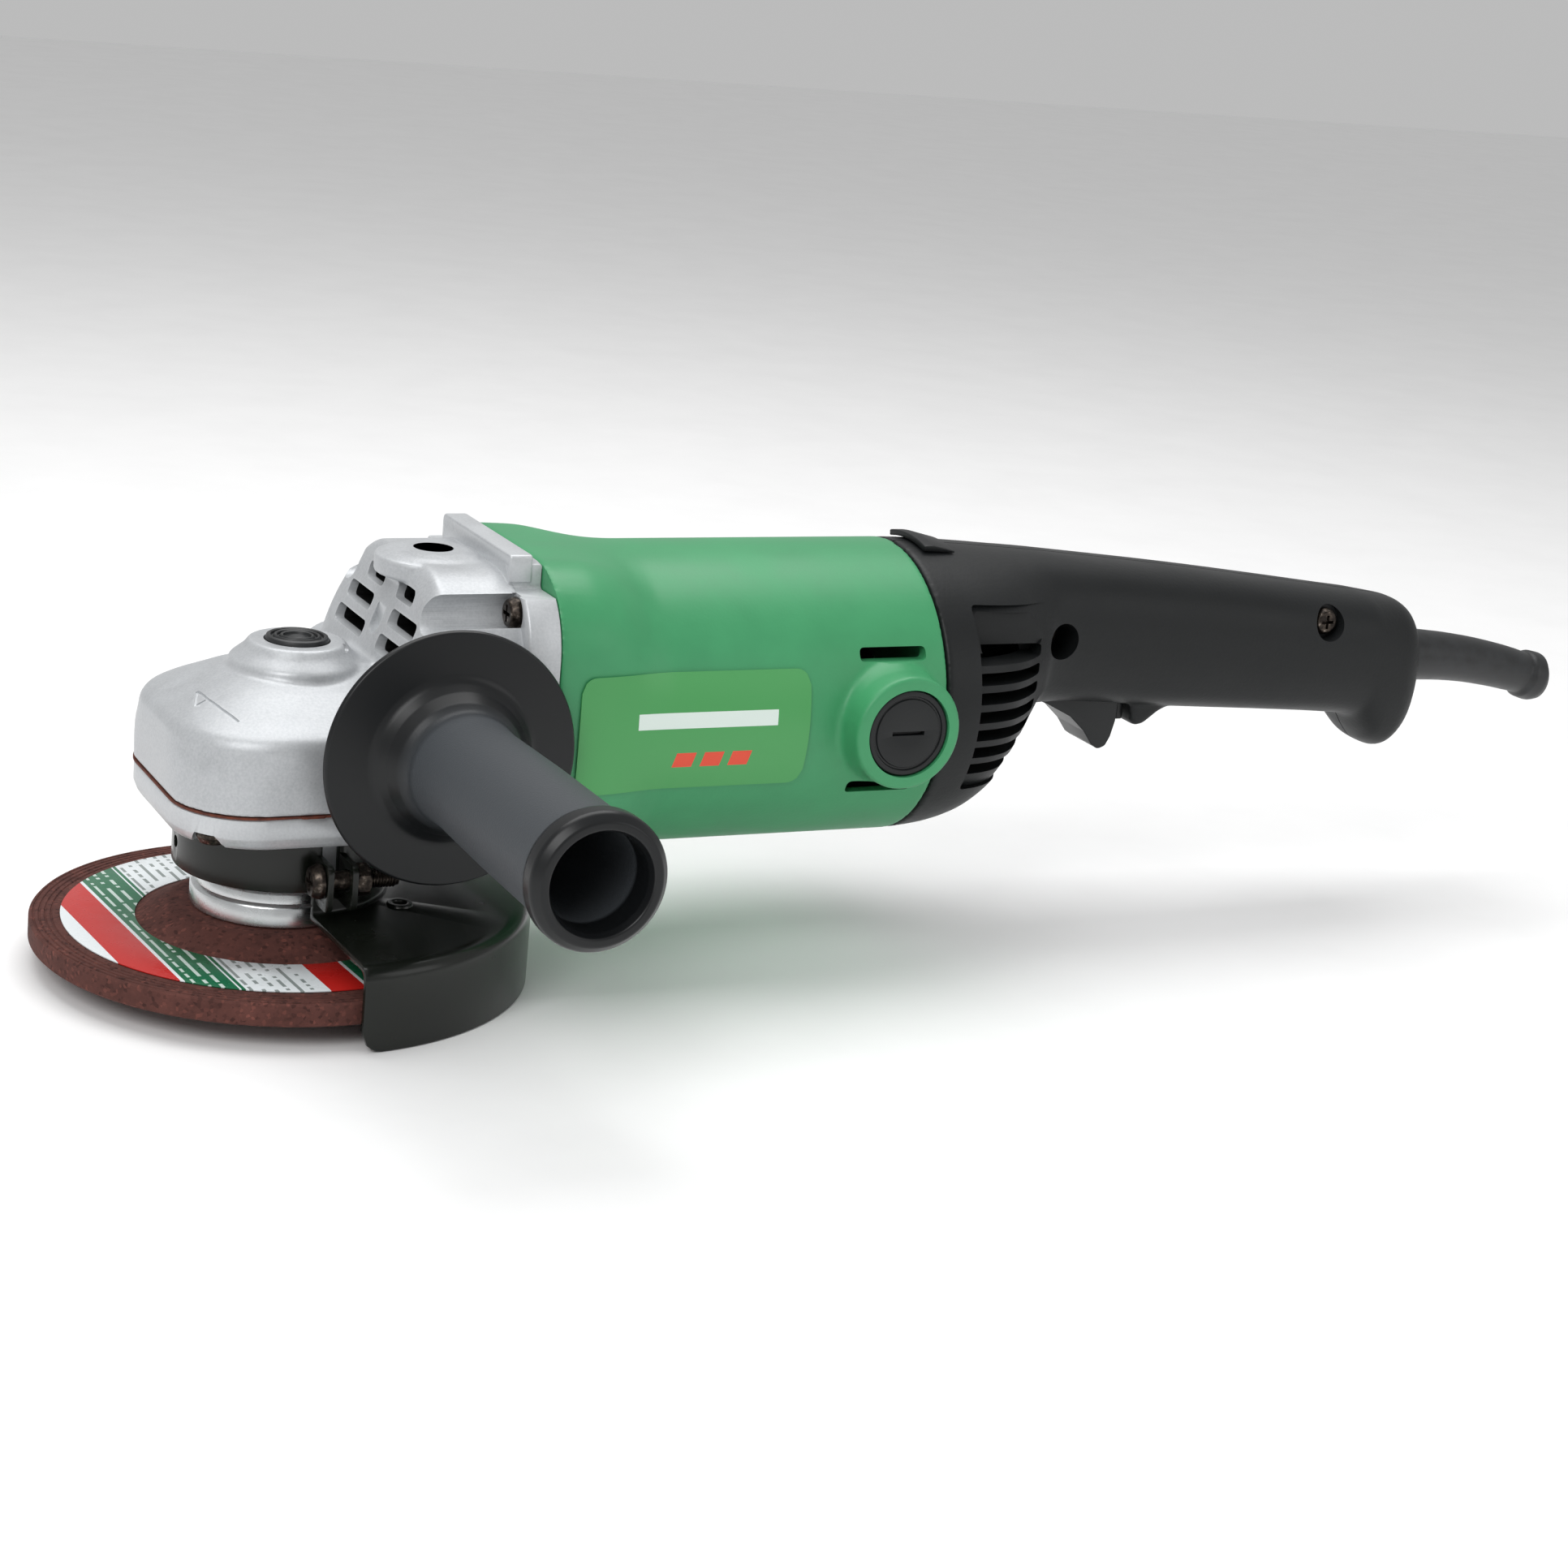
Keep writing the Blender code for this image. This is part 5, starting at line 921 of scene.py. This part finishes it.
class GRINDER_OT_gear_head(PieceOperator, bpy.types.Operator):
    """Silver gear-head casting with its flange plate, vents, bosses and screws"""

    bl_idname = "grinder.gear_head"
    bl_label = "Gear head"

    def execute(self, context):
        shapes = context.scene.grinder_shapes
        head = fuse("gear_casting", casting_solids(), shapes.cast_voxel, shapes.cast_rounding)
        plate = loft("plate", [motor_ring(x, FLANGE_HALF - inset, FLANGE_CORNER) for x, inset in
                               ((48.5, 0.5), (48.9, 0.1), (49.3, 0), (56.9, 0), (57.15, 0.1), (57.3, 0.3))])
        for side in (-1, 1):
            corner = rounded([(side * 24, 98.4), (side * 50, 98.4), (side * 50, 110), (side * 24, 110)],
                             [1.4, 0, 0, 0], 6)
            carve(plate, prism("corner_notch", corner, 40, 60, "yz"))
        shape(head, plate, "UNION")
        crest = [(-24.5, 100), (24.5, 100), (24.5, 107.2), (-24.5, 107.2)]
        shape(head, soften(prism("crest", rounded(crest, [0, 0, 2.0, 1.2], 5), 48.5, 54.6, "yz"), 0.5, 3, 50),
              "UNION")
        casting_hollows(head)
        engrave_arrow(head)
        silver = finish_of("silver")
        fit(head, "body", silver, ["gear_head"])
        for i, (y, z) in enumerate(SCREW_CORNERS):
            fit(screw(f"case_bolt_{i + 1}", (49.0, y, z), (1, 0, 0), 26, 2.3), "body", finish_of("oxide"),
                [f"case_screw_{i + 1}"])
        return {"FINISHED"}


def engrave_arrow(head):
    """Thin turning-direction arrow, cut 0.5 mm into the roof of the nose."""
    tree = BVHTree.FromObject(head, bpy.context.evaluated_depsgraph_get())
    strokes = [[(-25.1, -5.4), (-24.4, -12.0), (-22.8, -18.6), (-20.4, -25.7)],
               [(-25.1, -5.4), (-27.6, -12.4), (-24.4, -12.0)]]
    for stroke in strokes:
        middle = []
        for (x0, y0), (x1, y1) in zip(stroke, stroke[1:]):
            middle += [(x0 + (x1 - x0) * k / 6, y0 + (y1 - y0) * k / 6) for k in range(6)]
        middle.append(stroke[-1])
        rings = []
        for i, (x, y) in enumerate(middle):
            ahead, behind = middle[min(i + 1, len(middle) - 1)], middle[max(i - 1, 0)]
            along = Vector((ahead[0] - behind[0], ahead[1] - behind[1])).normalized() * 0.36
            hit = tree.ray_cast(Vector((x, y, 120)) * MM, Vector((0, 0, -1)))[0]
            if hit is None:
                raise RuntimeError("the arrow misses the casting")
            top = hit.z / MM
            rings.append([(x - along.y, y + along.x, top - 0.45), (x + along.y, y - along.x, top - 0.45),
                          (x + along.y, y - along.x, top + 2), (x - along.y, y + along.x, top + 2)])
        carve(head, loft("stroke", rings))


class GRINDER_OT_bearing_cover(PieceOperator, bpy.types.Operator):
    """Spindle bearing cover under the gear head, with its gasket and four screws"""

    bl_idname = "grinder.bearing_cover"
    bl_label = "Bearing cover"

    def execute(self, context):
        rings = []
        for z, inset in ((35.3, 2.0), (35.6, 1.4), (36.6, 0.7), (38.0, 0.2), (38.6, 0), (43.3, 0), (43.7, 0.3)):
            rings.append(plan_ring(34.0 - inset, 33.5 - inset, 35.0 - inset, 20, 20, z))
        cover = loft("spindle_cover", rings)
        neck = rounded([(0, 20.5), (25.4, 20.5), (25.4, 38), (0, 38)], [0, 0.8, 0, 0])
        shape(cover, turned("neck", neck, steps=128), "UNION")
        carve(cover, rod("shaft_way", 11.0, (0, 0, 19), (0, 0, 45), 64),
              rod("bearing_way", 17.8, (0, 0, 26.8), (0, 0, 45), 64),
              rod("seal_way", 14.1, (0, 0, 21.5), (0, 0, 26.3), 64))
        for x, y in COVER_CORNERS:
            carve(cover, rod("head_way", 5.1, (x, y, 34.3), (x, y, 38.7), 48),
                  rod("shank_way", 2.3, (x, y, 37), (x, y, 45), 32))
        fit(cover, "body", finish_of("silver"), ["bearing_cover"])
        for i, (x, y) in enumerate(COVER_CORNERS):
            fit(screw(f"cover_bolt_{i + 1}", (x, y, 38.4), (0, 0, 1), 15, 2.0), "body", finish_of("oxide"),
                [f"cover_screw_{i + 1}"])
        sheet = loft("gasket", [plan_ring(34.15, 33.65, 35.65, 20, 20, z) for z in (43.85, 44.35)])
        tab = prism("gasket_tab", rounded([(-6.3, -34), (-6.3, -36.3), (-0.3, -36.3), (-0.3, -34)], 0.5, 3), 43.85,
                    44.35, "xy")
        shape(sheet, tab, "UNION")
        carve(sheet, rod("gear_way", 30.4, (0, 0, 43), (0, 0, 46), 96))
        for x, y in COVER_CORNERS:
            carve(sheet, rod("gasket_hole", 2.3, (x, y, 43), (x, y, 46), 32))
        fit(sheet, "body", finish_of("gasket"), ["head_gasket"])
        return {"FINISHED"}


class GRINDER_OT_lock_button(PieceOperator, bpy.types.Operator):
    """Ribbed rubber button of the spindle lock, and its spring"""

    bl_idname = "grinder.lock_button"
    bl_label = "Spindle lock button"

    def execute(self, context):
        outline = [(0, 75.7), (8.1, 75.7), (8.1, 80.3), (7.8, 81.0), (7.2, 81.3), (6.8, 81.1), (6.6, 80.5),
                   (6.1, 80.5), (5.9, 81.1), (5.6, 81.3), (5.2, 81.1), (5.0, 80.5), (4.5, 80.5), (4.3, 81.1),
                   (4.0, 81.3), (3.6, 81.1), (3.4, 80.5), (2.2, 80.5), (1.6, 80.9), (0, 81.0)]
        fit(turned("button", outline, origin=(PIN_X, 0, 0), steps=96), "spindle_lock", finish_of("rubber"),
            ["lock_button"])
        # a conical coil, so that its turns nest when the button goes down
        wire, low, high, turns = 0.3, 71.3, 75.4, 3
        rings = []
        for i in range(turns * 24 + 1):
            share = i / (turns * 24)
            a, coil_r = 2 * math.pi * turns * share, 3.3 - 1.8 * share
            level = low + wire + (high - low - 2 * wire) * share
            ring = []
            for k in range(10):
                b = 2 * math.pi * k / 10
                reach = coil_r + wire * math.cos(b)
                ring.append((PIN_X + reach * math.cos(a), reach * math.sin(a), level + wire * math.sin(b)))
            rings.append(ring)
        spring = fit(loft("lock_coil", rings), "body", finish_of("steel"), ["lock_spring"])
        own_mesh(spring)
        return {"FINISHED"}


# ---- motor housing ----------------------------------------------------------
HOUSING = ((57.6, 0.0), (67.6, 0.08), (75.6, 0.35), (86, 0.9), (91, 1.0), (171.1, 1.0))


def housing_side(x, height, lift):
    """Point on the housing's -Y side, at a height over the motor's axis and lifted off the surface."""
    blend = between(HOUSING, x)[0]
    angle = math.pi
    for _ in range(8):
        reach = (1 - blend) * square_reach(angle, FLANGE_HALF, FLANGE_CORNER) + blend * BARREL_R
        angle = math.pi - math.asin(height / reach)
    return (x, (reach + lift) * math.cos(angle), MOTOR_Z + (reach + lift) * math.sin(angle))


class GRINDER_OT_motor_housing(PieceOperator, bpy.types.Operator):
    """Green motor housing with brush bosses, caps, vents and the side plate"""

    bl_idname = "grinder.motor_housing"
    bl_label = "Motor housing"

    def execute(self, context):
        shapes = context.scene.grinder_shapes
        barrel = loft("barrel", [motor_ring(x, FLANGE_HALF, FLANGE_CORNER, between(HOUSING, x)[0])
                                 for x in stations(57.6, 171.1, 1.0)])
        solids = [barrel]
        for side in (-1, 1):
            solids.append(turned("boss", [(0, 34), (17.6, 34), (17.0, 37.5), (16.1, 40.5), (15.6, 43), (15.5, 49.2),
                                          (14.9, 49.8), (0, 49.8)], (0, side, 0), (CAP_X, 0, MOTOR_Z), 96))
        housing = fuse("motor_shell", solids, shapes.mould_voxel, 5)
        shape(housing, box("keep", (57.6, -60, 10), (171.1, 60, 120)), "INTERSECT")
        carve(housing, rod("bore", 37.4, (50, 0, MOTOR_Z), (166, 0, MOTOR_Z), 128),
              rod("bearing_way", 11.3, (165, 0, MOTOR_Z), (173, 0, MOTOR_Z), 64))
        for side in (-1, 1):
            carve(housing, rod("cap_way", 12.0, (CAP_X, side * 51, MOTOR_Z), (CAP_X, side * 39.8, MOTOR_Z), 96),
                  box("window", (150.1, min(side * 30, side * 40.8), 57), (159.7, max(side * 30, side * 40.8), 70.6)))
            for dz in (-18.3, 18.3):
                carve(housing, prism("vent", slot_outline(CAP_X, MOTOR_Z + dz, 10, 1.8, 1.5),
                                     *sorted((side * 30, side * 46))))
        for y, z in SCREW_CORNERS:
            carve(housing, rod("screw_way", 2.6, (50, y, z), (77.5, y, z), 32))
        fit(housing, "body", finish_of("green"), ["motor_housing"])
        rings = []
        for x in stations(63.5, 129.5, 1.0):
            edge = min(x - 63.5, 129.5 - x)
            half = 15.4 - (4.0 - math.sqrt(max(16 - (4 - edge) ** 2, 0)) if edge < 4 else 0.0)
            heights = [half * (2 * i / 24 - 1) for i in range(25)]
            rings.append([housing_side(x, h, 0.15) for h in heights]
                         + [housing_side(x, h, 0.65) for h in reversed(heights)])
        fit(loft("side_plate", rings), "body", finish_of("plate"), ["nameplate"])
        for name, side in (("left", -1), ("right", 1)):
            outline = rounded([(0, 0), (10.5, 0), (10.5, 6.6), (11.7, 6.6), (11.7, 9.0), (10.2, 9.0), (10.0, 8.5),
                               (9.5, 8.5), (9.3, 9.0), (0, 9.0)], [0, 0, 0, 0, 0.6, 0.15, 0.1, 0.1, 0.15, 0], 4)
            cap = turned(f"cap_{name}", outline, (0, side, 0), (CAP_X, side * 40.2, MOTOR_Z), 112)
            carve(cap, box("coin_slot", (150.1, min(side * 47.2, side * 51), MOTOR_Z - 0.55),
                           (159.7, max(side * 47.2, side * 51), MOTOR_Z + 0.55)))
            fit(soften(cap, 0.15, 2, 50), "body", finish_of("black_smooth"), [f"brush_cap_{name}"])
        return {"FINISHED"}


# ---- side handle ------------------------------------------------------------
class GRINDER_OT_side_handle(PieceOperator, bpy.types.Operator):
    """Side handle with its round flange and bead, and its stud"""

    bl_idname = "grinder.side_handle"
    bl_label = "Side handle"

    def execute(self, context):
        start, end = 44.6, 141.9
        profile = [(5.2, start), (14, start), (32.1, start + 0.4), (33.1, start + 1.2), (32.5, start + 2.4),
                   (21, start + 3.2), (18.5, start + 6), (16.5, start + 9), (14.6, start + 11), (14.2, start + 20),
                   (14.8, start + 50), (15, end - 10), (16.7, end - 6), (16.7, end - 2), (14.7, end), (12.75, end),
                   (11.95, end - 2), (10.45, start + 38), (5.2, start + 38)]
        radii = [0.4, 0, 0.4, 0.7, 0.8, 4, 4, 4, 5, 12, 12, 5, 2.4, 2.4, 1.2, 0.8, 0.6, 1.5, 0.5]
        fit(turned("side_grip", rounded(profile, radii, 8), (0, -1, 0), (SOCKET[0], 0, SOCKET[1]), 128), "body",
            finish_of("grip"), ["side_handle"])
        outline = [(0, 29.8), (4.1, 29.8)]
        height = 30.4
        while height < 44:
            outline += [(4.9, height), (4.9, height + 0.25), (4.35, height + 0.75), (4.35, height + 1.0)]
            height += 1.5
        outline += [(4.9, 44.6), (4.9, 80.6), (0, 80.6)]
        fit(turned("grip_stud", outline, (0, -1, 0), (SOCKET[0], 0, SOCKET[1]), 48), "body",
            finish_of("zinc"), ["handle_stud"])
        return {"FINISHED"}


# ---- rear handle ------------------------------------------------------------
TAIL = ((171.4, 104.5, 23.1, 40.7, 2.0), (180, 104.2, 24.0, 40.3, 2.0), (188, 103.7, 26.2, 39.0, 2.05),
        (195, 103.2, 30.2, 36.5, 2.1), (201, 102.7, 36.5, 32.5, 2.2), (206, 102.3, 43.0, 28.0, 2.3),
        (211, 101.9, 51.0, 23.5, 2.5), (216, 101.5, 57.5, 20.5, 2.6), (224, 100.7, 58.0, 19.5, 2.7),
        (267, 96.2, 55.2, 18.5, 2.8), (300, 92.2, 53.2, 18.0, 2.8), (322, 89.4, 51.6, 17.5, 2.8),
        (331, 88.3, 50.4, 17.3, 2.8), (335, 87.7, 45.5, 17.2, 2.7), (339, 87.1, 41.6, 17.0, 2.6),
        (344, 86.2, 39.9, 16.6, 2.5), (348, 84.3, 42.5, 15.3, 2.5), (350.4, 81.0, 49.0, 13.0, 2.4),
        (351.5, 77.0, 55.0, 10.5, 2.2))
HANDLE_SCREWS = (("front", 218.5, 79.6, 8.0), ("rear", 312.6, 82.0, 12.0))


def oval_ring(x, inset=0.0, steps=96):
    """Superellipse ring at one station of the rear handle, from the table."""
    top, bottom, half, power = between(TAIL, x)
    middle, height, width = (top + bottom) / 2, (top - bottom) / 2 - inset, half - inset
    ring = []
    for i in range(steps):
        c, s = math.cos(2 * math.pi * (i + 0.5) / steps), math.sin(2 * math.pi * (i + 0.5) / steps)
        ring.append((x, width * math.copysign(abs(c) ** (2 / power), c),
                     middle + height * math.copysign(abs(s) ** (2 / power), s)))
    return ring


class GRINDER_OT_rear_handle(PieceOperator, bpy.types.Operator):
    """Black rear handle with louvres, seam, screw wells and the trigger's slot"""

    bl_idname = "grinder.rear_handle"
    bl_label = "Rear handle"

    def execute(self, context):
        shapes = context.scene.grinder_shapes
        outer = loft("tail", [oval_ring(x) for x in stations(171.4, 351.5, 1.0)])
        lobe = rounded([(250.6, 62), (252.4, 51.6), (254.2, 50.2), (257.0, 51.0), (261.5, 54.4), (268, 57.5),
                        (274, 62)], [0, 2, 2, 2, 4, 4, 0], 6)
        knuckle = soften(prism("lobe", lobe, -9, 9), 1.6, 4)
        shell = fuse("tail_shell", [outer, knuckle], shapes.mould_voxel, 4)
        shape(shell, box("keep", (171.4, -60, 0), (360, 60, 120)), "INTERSECT")
        hollow = [oval_ring(x, 2.8 if x > 174 else 3.0) for x in (168, 171.5, 176, 181)]
        hollow = [[(168, y, z) for _, y, z in hollow[1]]] + hollow[1:]
        hollow += [oval_ring(x, 9.0 if x < 206 else 6.0 if x < 212 else 4.0) for x in (183, 190, 198, 205, 211)]
        hollow += [oval_ring(x, 3.4) for x in stations(216, 336, 6)]
        hollow.append([(344.5, y, z) for _, y, z in hollow[-1]])
        carve(shell, loft("hollow", hollow))
        for side in (-1, 1):
            near, far = sorted((side * 12, side * 45))
            step = prism("step", rounded([(182, 42), (211, 42), (211, 91.5), (182, 93)], 1.5, 5), near, far)
            carve(step, loft("kept", [oval_ring(x, 1.9 * max(210.5 - x, 0) / 28.5) for x in stations(178, 214, 1)]))
            carve(shell, step)
            scoop = rounded([(183.5, 80.6), (206, 80.6), (210, 84.5), (210, 89.5), (183.5, 91)], 1.6, 5)
            carve(shell, prism("scoop", scoop, *sorted((side * 25.5, side * 45))))
        for i in range(7):
            z = MOTOR_Z + (i - 3) * 5.2
            for side in (-1, 1):
                carve(shell, prism("louvre", slot_outline(195, z, 12.5, 1.65, 1.3), *sorted((side * 20, side * 45))))
        for name, x, z, depth in HANDLE_SCREWS:
            post = rod("post", 6.8, (x, -19, z), (x, 19, z), 64)
            shape(post, loft("inside", [oval_ring(at, 1.0) for at in stations(x - 10, x + 10, 1.0)]), "INTERSECT")
            shape(shell, post, "UNION")
            carve(shell, rod("screw_well", 5.2, (x, -30, z), (x, -depth, z), 64),
                  rod("screw_way", 2.5, (x, -depth - 1, z), (x, 12, z), 32))
        carve(shell, box("trigger_way", (217.6, -8.0, 46), (252.4, 8.0, 62)),
              rod("cord_way", 8.7, (341.5, 0, 67.6), (360, 0, 67.2), 64))
        for side, sign in (("top", 1), ("bottom", -1)):
            line = []
            for x in stations(171.6, 350.6, 2.0):
                top, bottom = between(TAIL, x)[:2]
                line.append((x, (top if sign > 0 else bottom) - sign * 0.5))
            line += [(x, z + sign * 3) for x, z in reversed(line)]
            carve(shell, prism(f"seam_{side}", line, -0.2, 0.2))
        fit(shell, "body", finish_of("black"), ["rear_handle_left", "rear_handle_right"])
        for name, x, z, depth in HANDLE_SCREWS:
            fit(screw(f"handle_bolt_{name}", (x, -depth - 0.3, z), (0, 1, 0), depth + 9, 2.2, 4.0, 2.6), "body",
                finish_of("oxide"), [f"handle_screw_{name}"])
        return {"FINISHED"}


class GRINDER_OT_trigger(PieceOperator, bpy.types.Operator):
    """Trigger paddle and the small lock-off tab behind it"""

    bl_idname = "grinder.trigger"
    bl_label = "Trigger"

    def execute(self, context):
        outline = rounded([(218.9, 64.0), (219.0, 59.6), (224.0, 57.6), (232.2, 53.6), (237.2, 49.2), (240.4, 45.0),
                           (242.8, 43.5), (245.2, 44.4), (246.6, 47.2), (247.7, 52.0), (247.9, 64.0)],
                          [0.5, 1, 3, 4, 4, 2, 2, 2, 2, 3, 0.5], 6)
        paddle = soften(prism("paddle", outline, -7.6, 7.6), 1.3, 5, 50)
        fit(paddle, "trigger", finish_of("black_smooth"), ["trigger"])
        tab = soften(box("tab", (249.3, -5, 51.6), (251.6, 5, 63.4)), 0.5, 3)
        fit(tab, "lock_off", finish_of("black_smooth"), ["lock_off_tab"])
        return {"FINISHED"}


class GRINDER_OT_cord_guard(PieceOperator, bpy.types.Operator):
    """Rubber cord guard at the end of the handle, and the small tab on top of the housing joint"""

    bl_idname = "grinder.cord_guard"
    bl_label = "Cord guard"

    def execute(self, context):
        table = ((340.4, 67.6, 10.6), (343.4, 67.5, 10.6), (343.9, 67.5, 8.1), (353, 67.4, 8.0), (364, 66.8, 7.6),
                 (376, 65.5, 7.2), (388, 63.4, 6.9), (396, 61.6, 6.7), (400.8, 60.35, 6.5), (402, 60.0, 7.5),
                 (405.6, 59.0, 7.7), (407.4, 58.5, 6.9))
        rings = []
        for x in stations(340.4, 407.4, 0.67):
            z, radius = between(table, x)
            before, after = between(table, x - 1.5)[0], between(table, x + 1.5)[0]
            lean = math.atan2(after - before, 3.0)
            ring = []
            for k in range(72):
                a = 2 * math.pi * k / 72
                up = radius * math.sin(a)
                ring.append((x - up * math.sin(lean), radius * math.cos(a), z + up * math.cos(lean)))
            rings.append(ring)
        boot = loft("cord_boot", rings)
        carve(boot, rod("cord_bore", 4.4, (399, 0, 60.8), (410.5, 0, 57.7), 64))
        fit(soften(boot, 0.5, 3, 50), "body", finish_of("rubber"), ["cord_guard"])
        wedge = rounded([(41.0, 176), (42.6, 176), (42.6, 179), (40.9, 186), (40.4, 186)], [0, 0.5, 0.8, 0, 0], 3)
        angles = [math.radians(180 - 14 + 28 * i / 24) for i in range(25)]
        tab = swept("top_wedge", [wedge] * 25, angles, (0, 0, MOTOR_Z), (1, 0, 0))
        fit(soften(tab, 0.3, 2, 50), "body", finish_of("black"), ["top_tab"])
        return {"FINISHED"}


# ---- inner works ------------------------------------------------------------
INNER = {
    "steel": ("armature_core", "armature_shaft", "stator_core", "front_bearing", "rear_bearing", "lock_pin",
              "spindle_bearing_inner", "spindle_bearing_outer", "pinion", "driven_gear", "gear_nut"),
    "copper": ("armature_winding_front", "armature_winding_rear", "field_coil_upper", "field_coil_lower",
               "commutator"),
    "brass": ("brush_holder_left", "brush_holder_right"),
    "carbon": ("carbon_brush_left", "carbon_brush_right", "switch_body"),
    "black": ("cooling_fan", "fan_baffle"),
    "rubber": ("felt_seal",),
}


class GRINDER_OT_inner_works(PieceOperator, bpy.types.Operator):
    """Finishes for the gears, motor, bearings and switch inside"""

    bl_idname = "grinder.inner_works"
    bl_label = "Inner works"

    def execute(self, context):
        for key, names in INNER.items():
            for name in names:
                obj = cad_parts[name]
                for slot in obj.material_slots:
                    slot.material = finish_of(key)
        return {"FINISHED"}


# ---- stage ------------------------------------------------------------------
def soft_light(name, place, aim, size, power):
    """White area light at a place in metres, aimed at a point."""
    data = bpy.data.lights.new(name, "AREA")
    data.shape = "RECTANGLE"
    data.size, data.size_y = size
    data.energy = power
    obj = bpy.data.objects.new(name, data)
    obj.location = place
    obj.rotation_euler = (Vector(aim) - Vector(place)).to_track_quat("-Z", "Y").to_euler()
    bpy.context.scene.collection.objects.link(obj)
    return obj


class GRINDER_OT_stage(PieceOperator, bpy.types.Operator):
    """Pale floor, soft studio lights, world and camera"""

    bl_idname = "grinder.stage"
    bl_label = "Stage"

    def execute(self, context):
        settings = context.scene.grinder_stage
        bm = bmesh.new()
        skin(bm, [[(x, y, z) for x, y in ((-3000, -3000), (3000, -3000), (3000, 3000), (-3000, 3000))]
                  for z in (-9.2, -7.3)])
        floor = make_piece("floor", bm)
        look, tree, shader, place = new_finish("floor_white_paper")
        fibre = grain(tree, place, 40.0).outputs["Fac"]
        tone = ramp(tree, fibre, [(0.3, (0.93, 0.93, 0.93, 1)), (0.7, (0.96, 0.96, 0.96, 1))])
        tree.links.new(tone, shader.inputs["Base Color"])
        shader.inputs["Roughness"].default_value = 0.7
        floor.data.materials.append(look)
        key = soft_light("key", (-0.75, -0.75, 0.95), (0.12, 0, 0.05), (0.7, 0.7), settings.key_power)
        fill = soft_light("fill", (0.9, -0.9, 0.45), (0.15, 0, 0.05), (0.6, 0.6), settings.fill_power)
        top = soft_light("top", (0.15, 0.25, 1.0), (0.15, 0, 0.05), (1.1, 0.7), settings.top_power)
        world = bpy.data.worlds.new("studio")
        world.use_nodes = True
        world.node_tree.nodes["Background"].inputs["Color"].default_value = (1, 1, 1, 1)
        world.node_tree.nodes["Background"].inputs["Strength"].default_value = settings.world_strength
        context.scene.world = world
        data = bpy.data.cameras.new("camera")
        data.lens = settings.focal_length
        data.dof.use_dof = False
        camera = bpy.data.objects.new("camera", data)
        azimuth, elevation, roll = settings.camera_turn
        turn = (Matrix.Rotation(azimuth, 4, "Z") @ Matrix.Rotation(math.pi / 2 - elevation, 4, "X")
                @ Matrix.Rotation(roll, 4, "Z"))
        camera.matrix_world = Matrix.Translation(Vector(settings.camera_place)) @ turn
        context.scene.collection.objects.link(camera)
        context.scene.camera = camera
        context.scene.view_settings.view_transform = "Standard"
        return {"FINISHED"}


# ---- panel and registration -------------------------------------------------
class GRINDER_PT_panel(bpy.types.Panel):
    """Settings and build buttons"""

    bl_idname = "GRINDER_PT_panel"
    bl_label = "Grinder"
    bl_space_type = "VIEW_3D"
    bl_region_type = "UI"
    bl_category = "Grinder"

    def draw(self, context):
        for group in (context.scene.grinder_finishes, context.scene.grinder_shapes, context.scene.grinder_stage):
            box_layout = self.layout.box()
            for name in group.bl_rna.properties.keys():
                if name not in ("rna_type", "name"):
                    box_layout.prop(group, name)
        for operator in OPERATORS:
            self.layout.operator(operator.bl_idname)


OPERATORS = (GRINDER_OT_wheel, GRINDER_OT_guard, GRINDER_OT_gear_head, GRINDER_OT_bearing_cover,
             GRINDER_OT_lock_button, GRINDER_OT_motor_housing, GRINDER_OT_side_handle, GRINDER_OT_rear_handle,
             GRINDER_OT_trigger, GRINDER_OT_cord_guard, GRINDER_OT_inner_works, GRINDER_OT_stage)
GROUPS = (("grinder_finishes", GrinderFinishes), ("grinder_shapes", GrinderShapes), ("grinder_stage", GrinderStage))


def register():
    """Register the settings, operators and panel."""
    for name, group in GROUPS:
        bpy.utils.register_class(group)
        setattr(bpy.types.Scene, name, PointerProperty(type=group))
    for operator in OPERATORS:
        bpy.utils.register_class(operator)
    bpy.utils.register_class(GRINDER_PT_panel)


def unregister():
    """Take back what register did."""
    bpy.utils.unregister_class(GRINDER_PT_panel)
    for operator in reversed(OPERATORS):
        bpy.utils.unregister_class(operator)
    for name, group in reversed(GROUPS):
        delattr(bpy.types.Scene, name)
        bpy.utils.unregister_class(group)


def main():
    """Build every piece and the stage."""
    register()
    for operator in OPERATORS:
        family, name = operator.bl_idname.split(".")
        if getattr(getattr(bpy.ops, family), name)() != {"FINISHED"}:
            raise RuntimeError(f"{operator.bl_label} was not built")


if __name__ == "__main__":
    main()
